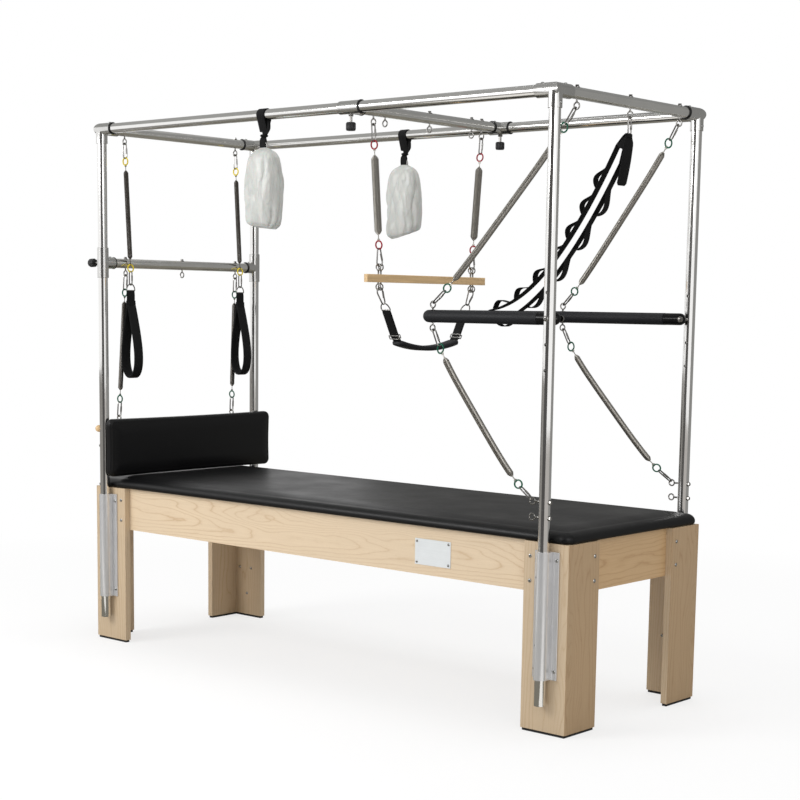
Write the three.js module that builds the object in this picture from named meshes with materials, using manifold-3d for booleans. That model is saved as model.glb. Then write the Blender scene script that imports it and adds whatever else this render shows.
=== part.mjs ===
// A trapeze table: a padded bed on four wooden corner legs under a steel tube frame,
// with a sprung push-through bar, a sliding trapeze, a sliding mid bar that carries
// a roll-down bar, two foot loops, a safety strap and two bagged fleece slings.
// Millimetres, +Z up, +X towards the push-through bar end, -Y towards the front side.
// The origin is on the floor under the middle of the table.
import * as THREE from 'three';
import { mergeVertices } from 'three/addons/utils/BufferGeometryUtils.js';
import Module from 'manifold-3d';

const wasm = await Module();
wasm.setup();

// Fits and cuts
const FIT_GAP = 0.3;
const OVERRUN = 2;
const WELD = 1;
const MERGE_TOLERANCE = 0.0001;
// Thin wires are square: their flats stand at this share of the wire's radius
const FLAT_SHARE = Math.SQRT1_2;
const UP = new THREE.Vector3(0, 0, 1);

// Wooden base
const TABLE_HALF_LENGTH = 1178;
const TABLE_HALF_WIDTH = 390;
const BOARD_THICKNESS = 25;
const LEG_SIDE_BOARD = 177;
const LEG_END_BOARD = 170;
const BASE_TOP = 628;
const RAIL_DEPTH = 168;
const LEDGE_THICKNESS = 22;
const DECK_THICKNESS = 18;
const FOOT_PAD_HEIGHT = 9;
const FOOT_PAD_INSET = 4;

// Steel frame
const POST_INSET = 83;
const TUBE_RADIUS = 19;
const TUBE_WALL = 2;
const TOP_AXIS = 2040;
const POST_BOTTOM = 100;
const TUBE_SIDES = 12;
const HOLE_SIDES = 6;

// Post brackets, an aluminium section round each post
const BRACKET_BOTTOM = 186;
const BRACKET_HEIGHT = 416;
const BRACKET_HALF_WIDTH = 48;
const BRACKET_PLATE = 4.4;
const BRACKET_WALL = 4;
const BRACKET_ARC_STEPS = 8;

// Corner fittings and sliding tees
const FITTING_WALL = 3.4;
const CORNER_REACH_X = 68;
const CORNER_REACH_Y = 74;
const CORNER_REACH_Z = 56;
const CORNER_TUBE_START = 26;
const MITRE_LAP = 0.05;
const TEE_SLEEVE = 96;
const TEE_ARM = 52;
const TEE_TALL_SLEEVE = 118;

// Eyebolts
const EYE_RADIUS = 10.5;
const EYE_WIRE = 2.5;
const EYE_DROP = 39;
const EYE_LOW_DROP = 30;
const EYE_SHANK = 3;
const EYE_NUT_RADIUS = 6;
const EYE_NUT_HEIGHT = 7;
const EYE_ROOT_SHARE = 0.92;
const EYE_STEPS = 6;
const EYE_SIDES = 4;
const SHANK_SIDES = 5;
const NUT_SIDES = 6;
const OUTER_EYE_Y = 300;
const INNER_EYE_Y = 240;
const POST_EYE_HEIGHTS = [762, 711];
const POST_EYE_REACH = 49;
const FAR_BOLT_HEIGHTS = [796, 641];
const FAR_BOLT_REACH = 34;

// Push-through bar
const PUSH_AXIS = 1340;
const PUSH_RADIUS = 21;
const PUSH_SIDES = 10;
const PUSH_CORE_RADIUS = 12.7;
const PUSH_CORE_SIDES = 8;
const PUSH_CLEARANCE = 3;
const PUSH_REACH = 548;
const PUSH_END = 8;
const PUSH_BEND = 34;
const PUSH_BEND_STEPS = 3;
const PIVOT_RADIUS = 4.6;
const PIVOT_HEAD_RADIUS = 9;
const PIVOT_HEAD = 5;
const PIVOT_DEPTH = 30;
const POST_HOLE_RADIUS = 5;
const POST_HOLE_PITCH = 81;
const POST_HOLES_BELOW = 2;
const POST_HOLES_ABOVE = 1;

// Spring clips, coloured rings and coils
const CLIP_LENGTH = 60;
const CLIP_BEND = 8.2;
const CLIP_WIDE_BEND = 14;
const CLIP_WIRE = 2.8;
const CLIP_ARC_STEPS = 3;
const CLIP_WIDE_STEPS = 4;
const CLIP_SIDES = 4;
const RING_RADIUS = 14.3;
const RING_WIRE = 2.3;
const RING_STEPS = 8;
const RING_SIDES = 4;
const SPRING_TAIL = 21;
const CURL_STEPS = 8;
const CURL_SIDES = 5;
const CURL_RAMP = 3;
const LEAST_SELF_GAP = 0.4;
const PUSH_COIL_RADIUS = 11;
const HEAVY_COIL_RADIUS = 14;
const HEAVY_WIRE = 3;
const LIGHT_COIL_RADIUS = 10;
const LIGHT_WIRE = 2.4;
const PUSH_UPPER_CURLS = 7;
const PUSH_LOWER_CURLS = 6;
const TRAPEZE_CURLS = 4;
const FOOT_CURLS = 4;
const ROLL_CURLS = 4;

// Trapeze, its bar and its padded sling
const TRAPEZE_X = 238;
const TRAPEZE_BAR_AXIS = 1467;
const TRAPEZE_BAR_HEIGHT = 28;
const TRAPEZE_BAR_THICK = 16;
const TRAPEZE_BAR_HALF = 330;
const TRAPEZE_EYE_Y = 258;
const TWIN_EYE_HALF = 6.5;
const WOOD_BAR_SIDES = 14;
const SLING_STRAP_THICK = 4;
const SLING_PAD_WIDTH = 54;
const SLING_PAD_THICK = 18;
const SLING_BUCKLE_Y = 172;
const SLING_BUCKLE_Z = 1262;
const SLING_BUCKLE_HALF = 13;
const SLING_BUCKLE_THICK = 12;
const SLING_PAD_END_Y = 162;
const SLING_PAD_END_Z = 1242;
const SLING_BOTTOM_Z = 1220;
const SLING_PAD_STEPS = 8;

// D-rings
const DEE_HALF = 21;
const DEE_HEIGHT = 26;
const DEE_WIRE = 2.3;
const DEE_STEPS = 6;
const DEE_SIDES = 4;

// Locking knobs
const KNOB_RADIUS = 17;
const KNOB_HEIGHT = 28;
const KNOB_START = 50;
const KNOB_LOBES = 8;
const KNOB_LOBE_DEPTH = 2;
const KNOB_STEM = 5;

// Mid bar and the roll-down bar under it
const MID_AXIS = 1523;
const ROLL_BAR_RADIUS = 14;
const ROLL_BAR_HALF = 430;
const ROLL_BAR_AXIS = 864;
const ROLL_EYE_Y = 311;

// Foot loops on their springs
const FOOT_LEAN = 0.0645;
const LOOP_WIDTH = 44;
const LOOP_THICK = 8;
const LOOP_NECK = 52;
const LOOP_LENGTH = 345;
const LOOP_HALF_GAP = 34;
const LOOP_SHIFT = 8;
const LOOP_STEPS = 16;
const LOOP_WIDEST_SHARE = 0.72;

// Safety strap, a chain of webbing loops
const SAFETY_WIDTH = 30;
const SAFETY_THICK = 3;
const SAFETY_TOP_INSET = 27;
const SAFETY_TOP_Z = 1940;
const SAFETY_DROP = 94;
const SAFETY_ARRIVAL = 0.164;
const SAFETY_CURVE_SHARE = 0.331;
const SAFETY_UPPER_LOOPS = 7;
const SAFETY_LOWER_LOOPS = 5;
const SAFETY_LOOP_RISE = 24;
const SAFETY_LOOP_SHARE = 0.74;
const SAFETY_STEPS = 14;
const SAFETY_ARC_STEPS = 3;
const SAFETY_WRAP_STEPS = 8;
const SAFETY_TAIL_WIDTH = 40;
const SAFETY_TAIL_LENGTH = 165;
const SAFETY_TAIL_THICK = 6;
const SAFETY_TAIL_LEAN = 26;

// Fleece slings in clear bags, hung over the long top rails
const FRONT_BAG_X = -190;
const REAR_BAG_X = -244;
const BAG_HALF_X = 80;
const BAG_HALF_Y = 50;
const BAG_TOP = 1925;
const BAG_BOTTOM = 1642;
const BAG_RINGS = 5;
const BAG_SIDES = 10;
const BAG_FOLDS = 3;
const BAG_FOLD_SHARE = 0.07;
const BAG_BOTTOM_SHARE = 0.1;
const BAG_TOP_SHARE = 0.1;
const BAG_FULLNESS = 1 / 3;
const BAG_STRAP_WIDTH = 50;
const BAG_STRAP_THICK = 3;
const BAG_STRAP_ARC_STEPS = 8;

// Cushions
const MATTRESS_THICKNESS = 37;
const MATTRESS_CROWN = 9;
const MATTRESS_CROWN_RUN = 85;
const MATTRESS_EDGE = 20;
const MATTRESS_CORNER = 30;
const MATTRESS_DRAW = 5;
const MATTRESS_CELLS_X = 8;
const MATTRESS_CELLS_Y = 4;
const BOLSTER_HALF_LENGTH = 446;
const BOLSTER_HEIGHT = 232;
const BOLSTER_THICKNESS = 48;
const BOLSTER_CROWN = 5;
const BOLSTER_CROWN_RUN = 50;
const BOLSTER_EDGE = 14;
const BOLSTER_CORNER = 24;
const BOLSTER_DRAW = 4;
const BOLSTER_SHIFT = 10;
const BOLSTER_CELLS_X = 2;
const BOLSTER_CELLS_Y = 6;
const CUSHION_CORNER_STEPS = 3;
const CUSHION_UNDER_EDGE = 9;
const LEAST_CORNER_SHARE = 0.3;
const HALF_CROWN_SHARE = 0.4;

// Nameplate, bare
const PLATE_X = 594;
const PLATE_Z = 539;
const PLATE_WIDTH = 158;
const PLATE_HEIGHT = 90;
const PLATE_THICK = 1.6;
const PLATE_SCREW_INSET = 9;
const PLATE_SCREW_RADIUS = 3.5;
const PLATE_SCREW_HEAD = 1.5;

// Sizes that follow from the ones above
const postX = TABLE_HALF_LENGTH - POST_INSET;
const postY = TABLE_HALF_WIDTH + FIT_GAP + BRACKET_PLATE + FIT_GAP + TUBE_RADIUS;
const fittingRadius = TUBE_RADIUS + FIT_GAP + FITTING_WALL;
const boreRadius = TUBE_RADIUS + FIT_GAP;
const railOuterY = TABLE_HALF_WIDTH - BOARD_THICKNESS - FIT_GAP;
const railOuterX = TABLE_HALF_LENGTH - BOARD_THICKNESS - FIT_GAP;
const railBottom = BASE_TOP - RAIL_DEPTH;
const padHalfX = TABLE_HALF_LENGTH - FOOT_PAD_INSET;
const padHalfY = TABLE_HALF_WIDTH - FOOT_PAD_INSET;
const legBottom = FOOT_PAD_HEIGHT + FIT_GAP;
const pushY = postY - TUBE_RADIUS - PUSH_CLEARANCE - PUSH_RADIUS;
const pushCrossX = postX - PUSH_REACH;
const pushEye = { x: pushCrossX + PUSH_BEND, y: pushY };
const slingStrapWidth = 2 * (DEE_HALF - DEE_WIRE);
const mattressTop = BASE_TOP + FIT_GAP + MATTRESS_THICKNESS + MATTRESS_CROWN;
const eyeInside = EYE_RADIUS - EYE_WIRE * FLAT_SHARE;
const eyeFlat = eyeInside * (1 - Math.cos(Math.PI / EYE_STEPS));
const hookRest = (EYE_WIRE + CLIP_WIRE) * FLAT_SHARE + eyeFlat + FIT_GAP;
const rollBarX = -postX - TUBE_RADIUS - FIT_GAP - ROLL_BAR_RADIUS;
const mattressBottom = BASE_TOP + FIT_GAP;
const materials = {
  maple: { color: 0xd9c4a4, roughness: 0.55, metalness: 0 },
  barWood: { color: 0xc8a873, roughness: 0.5, metalness: 0 },
  deckWood: { color: 0xb99f78, roughness: 0.8, metalness: 0 },
  chrome: { color: 0xc9c9c9, roughness: 0.15, metalness: 1 },
  bracket: { color: 0xc4c6c9, roughness: 0.35, metalness: 1 },
  fitting: { color: 0x9d9c98, roughness: 0.4, metalness: 1 },
  spring: { color: 0x77736c, roughness: 0.35, metalness: 1 },
  pad: { color: 0x1c1c1e, roughness: 0.5, metalness: 0 },
  webbing: { color: 0x0d0d0e, roughness: 0.85, metalness: 0 },
  rubber: { color: 0x121212, roughness: 0.9, metalness: 0 },
  knob: { color: 0x151516, roughness: 0.55, metalness: 0 },
  bag: { color: 0xe9e8e6, roughness: 0.4, metalness: 0 },
  plate: { color: 0xd3d3d1, roughness: 0.35, metalness: 1 },
};

// Turns a closed three.js geometry into a solid that can be joined and cut.
function solid(geometry) {
  const bare = geometry.index ? geometry.toNonIndexed() : geometry.clone();
  bare.deleteAttribute('normal');
  bare.deleteAttribute('uv');
  const merged = mergeVertices(bare, MERGE_TOLERANCE);
  return new wasm.Manifold(new wasm.Mesh({
    numProp: 3,
    vertProperties: new Float32Array(merged.attributes.position.array),
    triVerts: new Uint32Array(merged.index.array),
  }));
}

function geometryOf(body) {
  const mesh = body.getMesh();
  const geometry = new THREE.BufferGeometry();
  geometry.setAttribute('position', new THREE.BufferAttribute(new Float32Array(mesh.vertProperties), 3));
  geometry.setIndex(new THREE.BufferAttribute(new Uint32Array(mesh.triVerts), 1));
  geometry.computeVertexNormals();
  return geometry;
}

function join(bodies) {
  return bodies.reduce((whole, body) => whole.add(body));
}

function cut(body, cutters) {
  return cutters.reduce((whole, cutter) => whole.subtract(cutter), body);
}

function at(x, y, z) {
  return new THREE.Vector3(x, y, z);
}

// A straight round bar between two points.
function rod(from, to, radius, sides) {
  const along = to.clone().sub(from);
  const geometry = new THREE.CylinderGeometry(radius, radius, along.length(), sides);
  geometry.rotateX(Math.PI / 2);
  const turn = new THREE.Quaternion().setFromUnitVectors(UP, along.normalize());
  geometry.applyQuaternion(turn);
  const middle = from.clone().add(to).multiplyScalar(1 / 2);
  geometry.translate(middle.x, middle.y, middle.z);
  return solid(geometry);
}

// A straight tube between two points, open at both ends.
function pipe(from, to, radius, wall, sides) {
  const along = to.clone().sub(from).normalize().multiplyScalar(OVERRUN);
  const bore = rod(from.clone().sub(along), to.clone().add(along), radius - wall, sides);
  return rod(from, to, radius, sides).subtract(bore);
}

function block(low, high) {
  const size = high.clone().sub(low);
  const geometry = new THREE.BoxGeometry(size.x, size.y, size.z);
  const middle = low.clone().add(high).multiplyScalar(1 / 2);
  geometry.translate(middle.x, middle.y, middle.z);
  return solid(geometry);
}

// A flat outline in X and Y, raised from one height to another.
function raised(points, bottom, height) {
  const shape = new THREE.Shape(points.map(([x, y]) => new THREE.Vector2(x, y)));
  const geometry = new THREE.ExtrudeGeometry(shape, { depth: height, bevelEnabled: false, steps: 1 });
  geometry.translate(0, 0, bottom);
  return solid(geometry);
}

// A ribbon of even thickness that follows a path in X and Z and is as wide as Y allows.
function ribbon(path, thickness, width, closed = false) {
  const count = path.length;
  const sides = [1, -1].map((side) => path.map((point, i) => {
    const before = path[closed ? (i + count - 1) % count : Math.max(i - 1, 0)];
    const after = path[closed ? (i + 1) % count : Math.min(i + 1, count - 1)];
    const run = after.clone().sub(before).normalize();
    const offset = side * thickness / 2;
    return [point.x - run.y * offset, point.y + run.x * offset];
  }));
  if (!closed) {
    return uprightPlate([...sides[0], ...sides[1].reverse()], width);
  }
  const areas = sides.map((side) => Math.abs(THREE.ShapeUtils.area(side.map(([x, y]) => ({ x, y })))));
  const outer = areas[0] > areas[1] ? 0 : 1;
  const body = uprightPlate(sides[outer], width);
  return body.subtract(uprightPlate(sides[1 - outer], width + 2 * OVERRUN));
}

// A flat outline in X and Z, given a width along Y about its middle.
function uprightPlate(points, width) {
  const body = new THREE.Shape(points.map(([x, z]) => new THREE.Vector2(x, z)));
  const geometry = new THREE.ExtrudeGeometry(body, { depth: width, bevelEnabled: false, steps: 1 });
  geometry.rotateX(Math.PI / 2);
  geometry.translate(0, width / 2, 0);
  return solid(geometry);
}

// A wire along points: rings of corners carried from one point to the next without twist.
function wire(points, radius, sides, closed = false) {
  const count = points.length;
  const tangents = points.map((point, i) => {
    const before = points[closed ? (i + count - 1) % count : Math.max(i - 1, 0)];
    const after = points[closed ? (i + 1) % count : Math.min(i + 1, count - 1)];
    return after.clone().sub(before).normalize();
  });
  const guess = Math.abs(tangents[0].y) < Math.SQRT1_2 ? at(0, 1, 0) : at(1, 0, 0);
  let normal = guess.sub(tangents[0].clone().multiplyScalar(guess.dot(tangents[0]))).normalize();
  const corners = [];
  points.forEach((point, i) => {
    normal = normal.clone().sub(tangents[i].clone().multiplyScalar(normal.dot(tangents[i]))).normalize();
    const side = new THREE.Vector3().crossVectors(tangents[i], normal);
    for (let k = 0; k < sides; k += 1) {
      const angle = 2 * Math.PI * (k + 1 / 2) / sides;
      corners.push(point.clone()
        .add(normal.clone().multiplyScalar(radius * Math.cos(angle)))
        .add(side.clone().multiplyScalar(radius * Math.sin(angle))));
    }
  });
  const faces = [];
  const spans = closed ? count : count - 1;
  for (let i = 0; i < spans; i += 1) {
    for (let k = 0; k < sides; k += 1) {
      const a = i * sides + k;
      const b = i * sides + (k + 1) % sides;
      const c = ((i + 1) % count) * sides + k;
      const d = ((i + 1) % count) * sides + (k + 1) % sides;
      faces.push(a, b, c, b, d, c);
    }
  }
  for (let k = 1; !closed && k < sides - 1; k += 1) {
    const last = (count - 1) * sides;
    faces.push(0, k + 1, k, last, last + k, last + k + 1);
  }
  return solid(facesOf(corners, faces));
}

function facesOf(corners, faces) {
  const geometry = new THREE.BufferGeometry();
  const positions = corners.flatMap((p) => [p.x, p.y, p.z]);
  geometry.setAttribute('position', new THREE.Float32BufferAttribute(positions, 3));
  geometry.setIndex(faces);
  return geometry;
}

// Smallest clear distance between parts of one wire that aren't neighbours along it.
function selfGap(points, radius) {
  const reach = CURL_STEPS / 2;
  let least = Infinity;
  points.forEach((a, i) => {
    points.slice(i + reach).forEach((b) => {
      least = Math.min(least, a.distanceTo(b) - 2 * radius);
    });
  });
  return least;
}

// A round ring whose plane holds Z and the named direction.
function ring(centre, radius, wireRadius, across, steps, sides) {
  const points = [];
  for (let i = 0; i < steps; i += 1) {
    const angle = 2 * Math.PI * i / steps;
    points.push(centre.clone()
      .add(across.clone().multiplyScalar(radius * Math.cos(angle)))
      .add(UP.clone().multiplyScalar(radius * Math.sin(angle))));
  }
  return wire(points, wireRadius, sides, true);
}

// A spring clip: a closed link with a bend at each end, in the plane of Z and the named direction.
function clip(fromZ, toZ, fromBend, toBend, across, offset = at(0, 0, 0)) {
  const points = [];
  const ends = [
    { z: fromZ + fromBend, bend: fromBend, start: Math.PI },
    { z: toZ - toBend, bend: toBend, start: 0 },
  ];
  ends.forEach(({ z, bend, start }) => {
    const steps = bend > CLIP_BEND ? CLIP_WIDE_STEPS : CLIP_ARC_STEPS;
    const flatTop = steps % 2 ? 1 / Math.cos(Math.PI / steps / 2) : 1;
    for (let i = 0; i <= steps; i += 1) {
      const angle = start + Math.PI * i / steps;
      const radius = i % steps ? bend * flatTop : bend;
      points.push(offset.clone()
        .add(across.clone().multiplyScalar(radius * Math.cos(angle)))
        .add(at(0, 0, z + radius * Math.sin(angle))));
    }
  });
  return wire(points, CLIP_WIRE, CLIP_SIDES, true);
}

// A D-ring: a straight bar at the webbing and a half loop above it.
function deeRing(barZ, across, offset) {
  const points = [];
  for (let i = 0; i <= DEE_STEPS; i += 1) {
    const angle = Math.PI * i / DEE_STEPS;
    points.push(offset.clone()
      .add(across.clone().multiplyScalar(DEE_HALF * Math.cos(angle)))
      .add(at(0, 0, barZ + DEE_HEIGHT * Math.sin(angle))));
  }
  return wire(points, DEE_WIRE, DEE_SIDES, true);
}

// One eyebolt on a round carrier: eye and shank on one side, and its nut on the other.
// toEye is the direction in which the eye stands off; the eye's plane holds X and Z.
function eyebolt(axisPoint, toEye, drop, carrierRadius, withNut = true) {
  const along = (distance) => axisPoint.clone().add(toEye.clone().multiplyScalar(distance));
  const root = carrierRadius * EYE_ROOT_SHARE;
  const parts = [
    ring(along(drop), EYE_RADIUS, EYE_WIRE, at(1, 0, 0), EYE_STEPS, EYE_SIDES),
    rod(along(root), along(drop - EYE_RADIUS), EYE_SHANK, SHANK_SIDES),
  ];
  if (withNut) {
    parts.push(rod(along(-root), along(-carrierRadius - EYE_NUT_HEIGHT), EYE_NUT_RADIUS, NUT_SIDES));
  }
  return parts;
}

// Where a clip that pulls towards a target rests in an eye.
function hookPoint(eyeCentre, target) {
  const pull = target.clone().sub(eyeCentre);
  pull.y = 0;
  return eyeCentre.clone().add(pull.normalize().multiplyScalar(EYE_RADIUS));
}

// Distance between the middles of two crossing wires that are fused to each other.
function crossed(first, second) {
  return (first + second) * FLAT_SHARE - WELD;
}

// How far a clip's bend stands past the wires it holds: one wire, or two side by side.
function restPast(bend, half, lean) {
  const across = half * Math.cos(lean);
  const clear = bend - hookRest - EYE_WIRE * (1 - FLAT_SHARE);
  return bend + half * Math.sin(lean) - Math.sqrt(clear ** 2 - across ** 2);
}

// A whole spring along local +Z from one hook to the other: clip, ring, coil, ring, clip.
// The clips lie in the plane of local X, the rings in the plane of local Y.
function springBody({ length, coilRadius, wireRadius, curls, farBend, farRest, turnFar, farClip }) {
  const acrossClip = at(1, 0, 0);
  const acrossRing = at(0, 1, 0);
  const clipEnd = CLIP_LENGTH - hookRest;
  const ringTop = clipEnd - crossed(CLIP_WIRE, RING_WIRE);
  const ringCentre = ringTop + RING_RADIUS;
  const ringBottom = ringCentre + RING_RADIUS;
  const farRingCentre = farClip ? length - ringCentre : length;
  const coilStart = ringBottom + SPRING_TAIL;
  const coilEnd = farRingCentre - RING_RADIUS - SPRING_TAIL;
  const points = [at(0, 0, ringBottom)];
  const steps = curls * CURL_STEPS;
  for (let i = 0; i <= steps; i += 1) {
    const angle = 2 * Math.PI * i / CURL_STEPS;
    const ramp = Math.min(1, i / CURL_RAMP, (steps - i) / CURL_RAMP);
    const radius = (coilRadius - wireRadius) * ramp;
    const z = coilStart + (coilEnd - coilStart) * i / steps;
    points.push(at(radius * Math.cos(angle), radius * Math.sin(angle), z));
  }
  points.push(at(0, 0, farRingCentre - RING_RADIUS));
  const gap = selfGap(points, wireRadius);
  console.log(`spring of ${curls} curls: least gap to itself ${gap.toFixed(2)} mm`);
  if (gap < LEAST_SELF_GAP) {
    throw new Error('the turns of a spring touch');
  }
  const farRingAcross = turnFar ? acrossClip : acrossRing;
  const parts = [
    clip(-hookRest, clipEnd, CLIP_BEND, CLIP_BEND, acrossClip),
    ring(at(0, 0, ringCentre), RING_RADIUS, RING_WIRE, acrossRing, RING_STEPS, RING_SIDES),
    wire(points, wireRadius, CURL_SIDES),
    ring(at(0, 0, farRingCentre), RING_RADIUS, RING_WIRE, farRingAcross, RING_STEPS, RING_SIDES),
  ];
  if (farClip) {
    parts.push(clip(length - clipEnd, length + farRest, CLIP_BEND, farBend, acrossClip));
  }
  return join(parts);
}

// Local +Z along the pull, local X as near to the table's Y as it can be.
function alongPull(from, to) {
  const z = to.clone().sub(from).normalize();
  const x = at(0, 1, 0).sub(z.clone().multiplyScalar(z.y)).normalize();
  const y = new THREE.Vector3().crossVectors(z, x);
  return new THREE.Quaternion().setFromRotationMatrix(new THREE.Matrix4().makeBasis(x, y, z));
}

const table = new THREE.Group();

function place(parent, name, body, finish, position = at(0, 0, 0)) {
  const mesh = new THREE.Mesh(geometryOf(body), new THREE.MeshStandardMaterial(materials[finish]));
  mesh.name = name;
  mesh.position.copy(position);
  parent.add(mesh);
  return mesh;
}

function placeSpring(name, from, to, settings) {
  const ends = { farBend: CLIP_BEND, farRest: hookRest, turnFar: false, farClip: true };
  const body = springBody({ ...ends, ...settings, length: from.distanceTo(to) });
  const mesh = place(table, name, body, 'spring', from);
  mesh.quaternion.copy(alongPull(from, to));
  return mesh;
}

// The four rails, each with a ledge under the deck
function sideRail(sign) {
  const outer = sign * railOuterY;
  const inner = sign * (railOuterY - BOARD_THICKNESS);
  const ledge = sign * (railOuterY - BOARD_THICKNESS - LEDGE_THICKNESS);
  const deckBottom = BASE_TOP - DECK_THICKNESS - FIT_GAP;
  const ledgeEnd = railOuterX - BOARD_THICKNESS - FIT_GAP;
  const low = Math.min(outer, inner);
  const high = Math.max(outer, inner);
  const board = block(at(-railOuterX, low, railBottom), at(railOuterX, high, BASE_TOP));
  const ledgeLow = Math.min(ledge, inner + sign * WELD);
  const ledgeHigh = Math.max(ledge, inner + sign * WELD);
  const strip = block(
    at(-ledgeEnd, ledgeLow, deckBottom - LEDGE_THICKNESS),
    at(ledgeEnd, ledgeHigh, deckBottom),
  );
  return board.add(strip);
}

function endRail(sign) {
  const outer = sign * railOuterX;
  const inner = sign * (railOuterX - BOARD_THICKNESS);
  const halfWidth = railOuterY - BOARD_THICKNESS - FIT_GAP;
  return block(
    at(Math.min(outer, inner), -halfWidth, railBottom),
    at(Math.max(outer, inner), halfWidth, BASE_TOP),
  );
}

place(table, 'front_rail', sideRail(-1), 'maple');
place(table, 'rear_rail', sideRail(1), 'maple');
place(table, 'near_end_rail', endRail(1), 'maple');
place(table, 'far_end_rail', endRail(-1), 'maple');

const deckHalfX = railOuterX - BOARD_THICKNESS - FIT_GAP;
const deckHalfY = railOuterY - BOARD_THICKNESS - FIT_GAP;
place(table, 'deck_board', block(
  at(-deckHalfX, -deckHalfY, BASE_TOP - DECK_THICKNESS),
  at(deckHalfX, deckHalfY, BASE_TOP),
), 'deckWood');

// An L of two boards round a corner of the table
function cornerOutline(signX, signY, halfX, halfY, sideBoard, endBoard, thickness) {
  const outline = [
    [halfX, halfY],
    [halfX - sideBoard, halfY],
    [halfX - sideBoard, halfY - thickness],
    [halfX - thickness, halfY - thickness],
    [halfX - thickness, halfY - endBoard],
    [halfX, halfY - endBoard],
  ];
  return outline.map(([x, y]) => [signX * x, signY * y]);
}

function corner(signX, signY) {
  const leg = cornerOutline(signX, signY, TABLE_HALF_LENGTH, TABLE_HALF_WIDTH,
    LEG_SIDE_BOARD, LEG_END_BOARD, BOARD_THICKNESS);
  const pad = cornerOutline(signX, signY, padHalfX, padHalfY,
    LEG_SIDE_BOARD - 2 * FOOT_PAD_INSET, LEG_END_BOARD - 2 * FOOT_PAD_INSET,
    BOARD_THICKNESS - 2 * FOOT_PAD_INSET);
  return {
    leg: raised(leg, legBottom, BASE_TOP - legBottom),
    pad: raised(pad, 0, FOOT_PAD_HEIGHT),
  };
}

// The bracket section, drawn round the post axis; the table lies on the +Y side of it
function bracket(signY) {
  const backY = TUBE_RADIUS + FIT_GAP + BRACKET_PLATE;
  const outer = boreRadius + BRACKET_WALL;
  const points = [
    [BRACKET_HALF_WIDTH, backY],
    [-BRACKET_HALF_WIDTH, backY],
    [-BRACKET_HALF_WIDTH, backY - BRACKET_PLATE],
    [-outer, backY - BRACKET_PLATE],
  ];
  for (let i = 0; i <= BRACKET_ARC_STEPS; i += 1) {
    const angle = Math.PI * (1 + i / BRACKET_ARC_STEPS);
    points.push([outer * Math.cos(angle), outer * Math.sin(angle)]);
  }
  points.push([outer, backY - BRACKET_PLATE], [BRACKET_HALF_WIDTH, backY - BRACKET_PLATE]);
  const shell = raised(points.map(([x, y]) => [x, -signY * y]), BRACKET_BOTTOM, BRACKET_HEIGHT);
  const top = BRACKET_BOTTOM + BRACKET_HEIGHT;
  const bore = rod(at(0, 0, BRACKET_BOTTOM - OVERRUN), at(0, 0, top + OVERRUN), boreRadius, TUBE_SIDES);
  return shell.subtract(bore);
}

// A post, round its own axis
function post(signX) {
  const top = TOP_AXIS - CORNER_TUBE_START;
  const near = signX > 0;
  const holes = [];
  for (let i = -POST_HOLES_BELOW; near && i <= POST_HOLES_ABOVE; i += 1) {
    const z = PUSH_AXIS + i * POST_HOLE_PITCH;
    const reach = TUBE_RADIUS + OVERRUN;
    holes.push(rod(at(0, -reach, z), at(0, reach, z), POST_HOLE_RADIUS, HOLE_SIDES));
  }
  const bolts = near
    ? POST_EYE_HEIGHTS.flatMap((z) => eyebolt(at(0, 0, z), at(-1, 0, 0), POST_EYE_REACH, TUBE_RADIUS))
    : FAR_BOLT_HEIGHTS.map((z) => rod(
      at(-FAR_BOLT_REACH, 0, z), at(-TUBE_RADIUS * EYE_ROOT_SHARE, 0, z), EYE_NUT_RADIUS, NUT_SIDES,
    ));
  const tube = pipe(at(0, 0, POST_BOTTOM), at(0, 0, top), TUBE_RADIUS, TUBE_WALL, TUBE_SIDES);
  return join([cut(tube, holes), ...bolts]);
}

// A three-way corner fitting with three sockets; its two level arms meet in a mitre.
function cornerFitting(signX, signY) {
  const far = CORNER_REACH_X + CORNER_REACH_Y;
  const depth = fittingRadius + OVERRUN;
  const wedge = (points) => raised(points.map(([x, y]) => [-signX * x, -signY * y]), -depth, 2 * depth);
  const ends = [
    at(-signX * CORNER_REACH_X, 0, 0),
    at(0, -signY * CORNER_REACH_Y, 0),
    at(0, 0, -CORNER_REACH_Z),
  ];
  const starts = [at(signX * fittingRadius, 0, 0), at(0, signY * fittingRadius, 0), at(0, 0, 0)];
  const [armX, armY, armZ] = ends.map((end, i) => rod(starts[i], end, fittingRadius, TUBE_SIDES));
  const sockets = ends.map((end) => {
    const way = end.clone().normalize();
    const inside = way.clone().multiplyScalar(CORNER_TUBE_START - FIT_GAP);
    const outside = way.clone().multiplyScalar(end.length() + OVERRUN);
    return rod(inside, outside, boreRadius, TUBE_SIDES);
  });
  const lap = far - MITRE_LAP;
  const halfX = armX.intersect(wedge([[-far, -far], [far, -far], [far, far], [lap, far], [-far, -lap]]));
  const halfY = armY.intersect(wedge([[-far, -far], [far, far], [-far, far]]));
  return cut(join([halfX, halfY, armZ]), sockets);
}

[['near', 1], ['far', -1]].forEach(([end, signX]) => {
  [['front', -1], ['rear', 1]].forEach(([side, signY]) => {
    const { leg, pad } = corner(signX, signY);
    place(table, `${end}_${side}_leg`, leg, 'maple');
    place(table, `${end}_${side}_foot_pad`, pad, 'rubber');
    const axis = new THREE.Group();
    axis.position.set(signX * postX, signY * postY, 0);
    place(axis, `${end}_${side}_post_bracket`, bracket(signY), 'bracket');
    place(axis, `${end}_${side}_post`, post(signX), 'chrome');
    place(axis, `${end}_${side}_corner_fitting`, cornerFitting(signX, signY), 'fitting', at(0, 0, TOP_AXIS));
    table.add(axis);
  });
});

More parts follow.
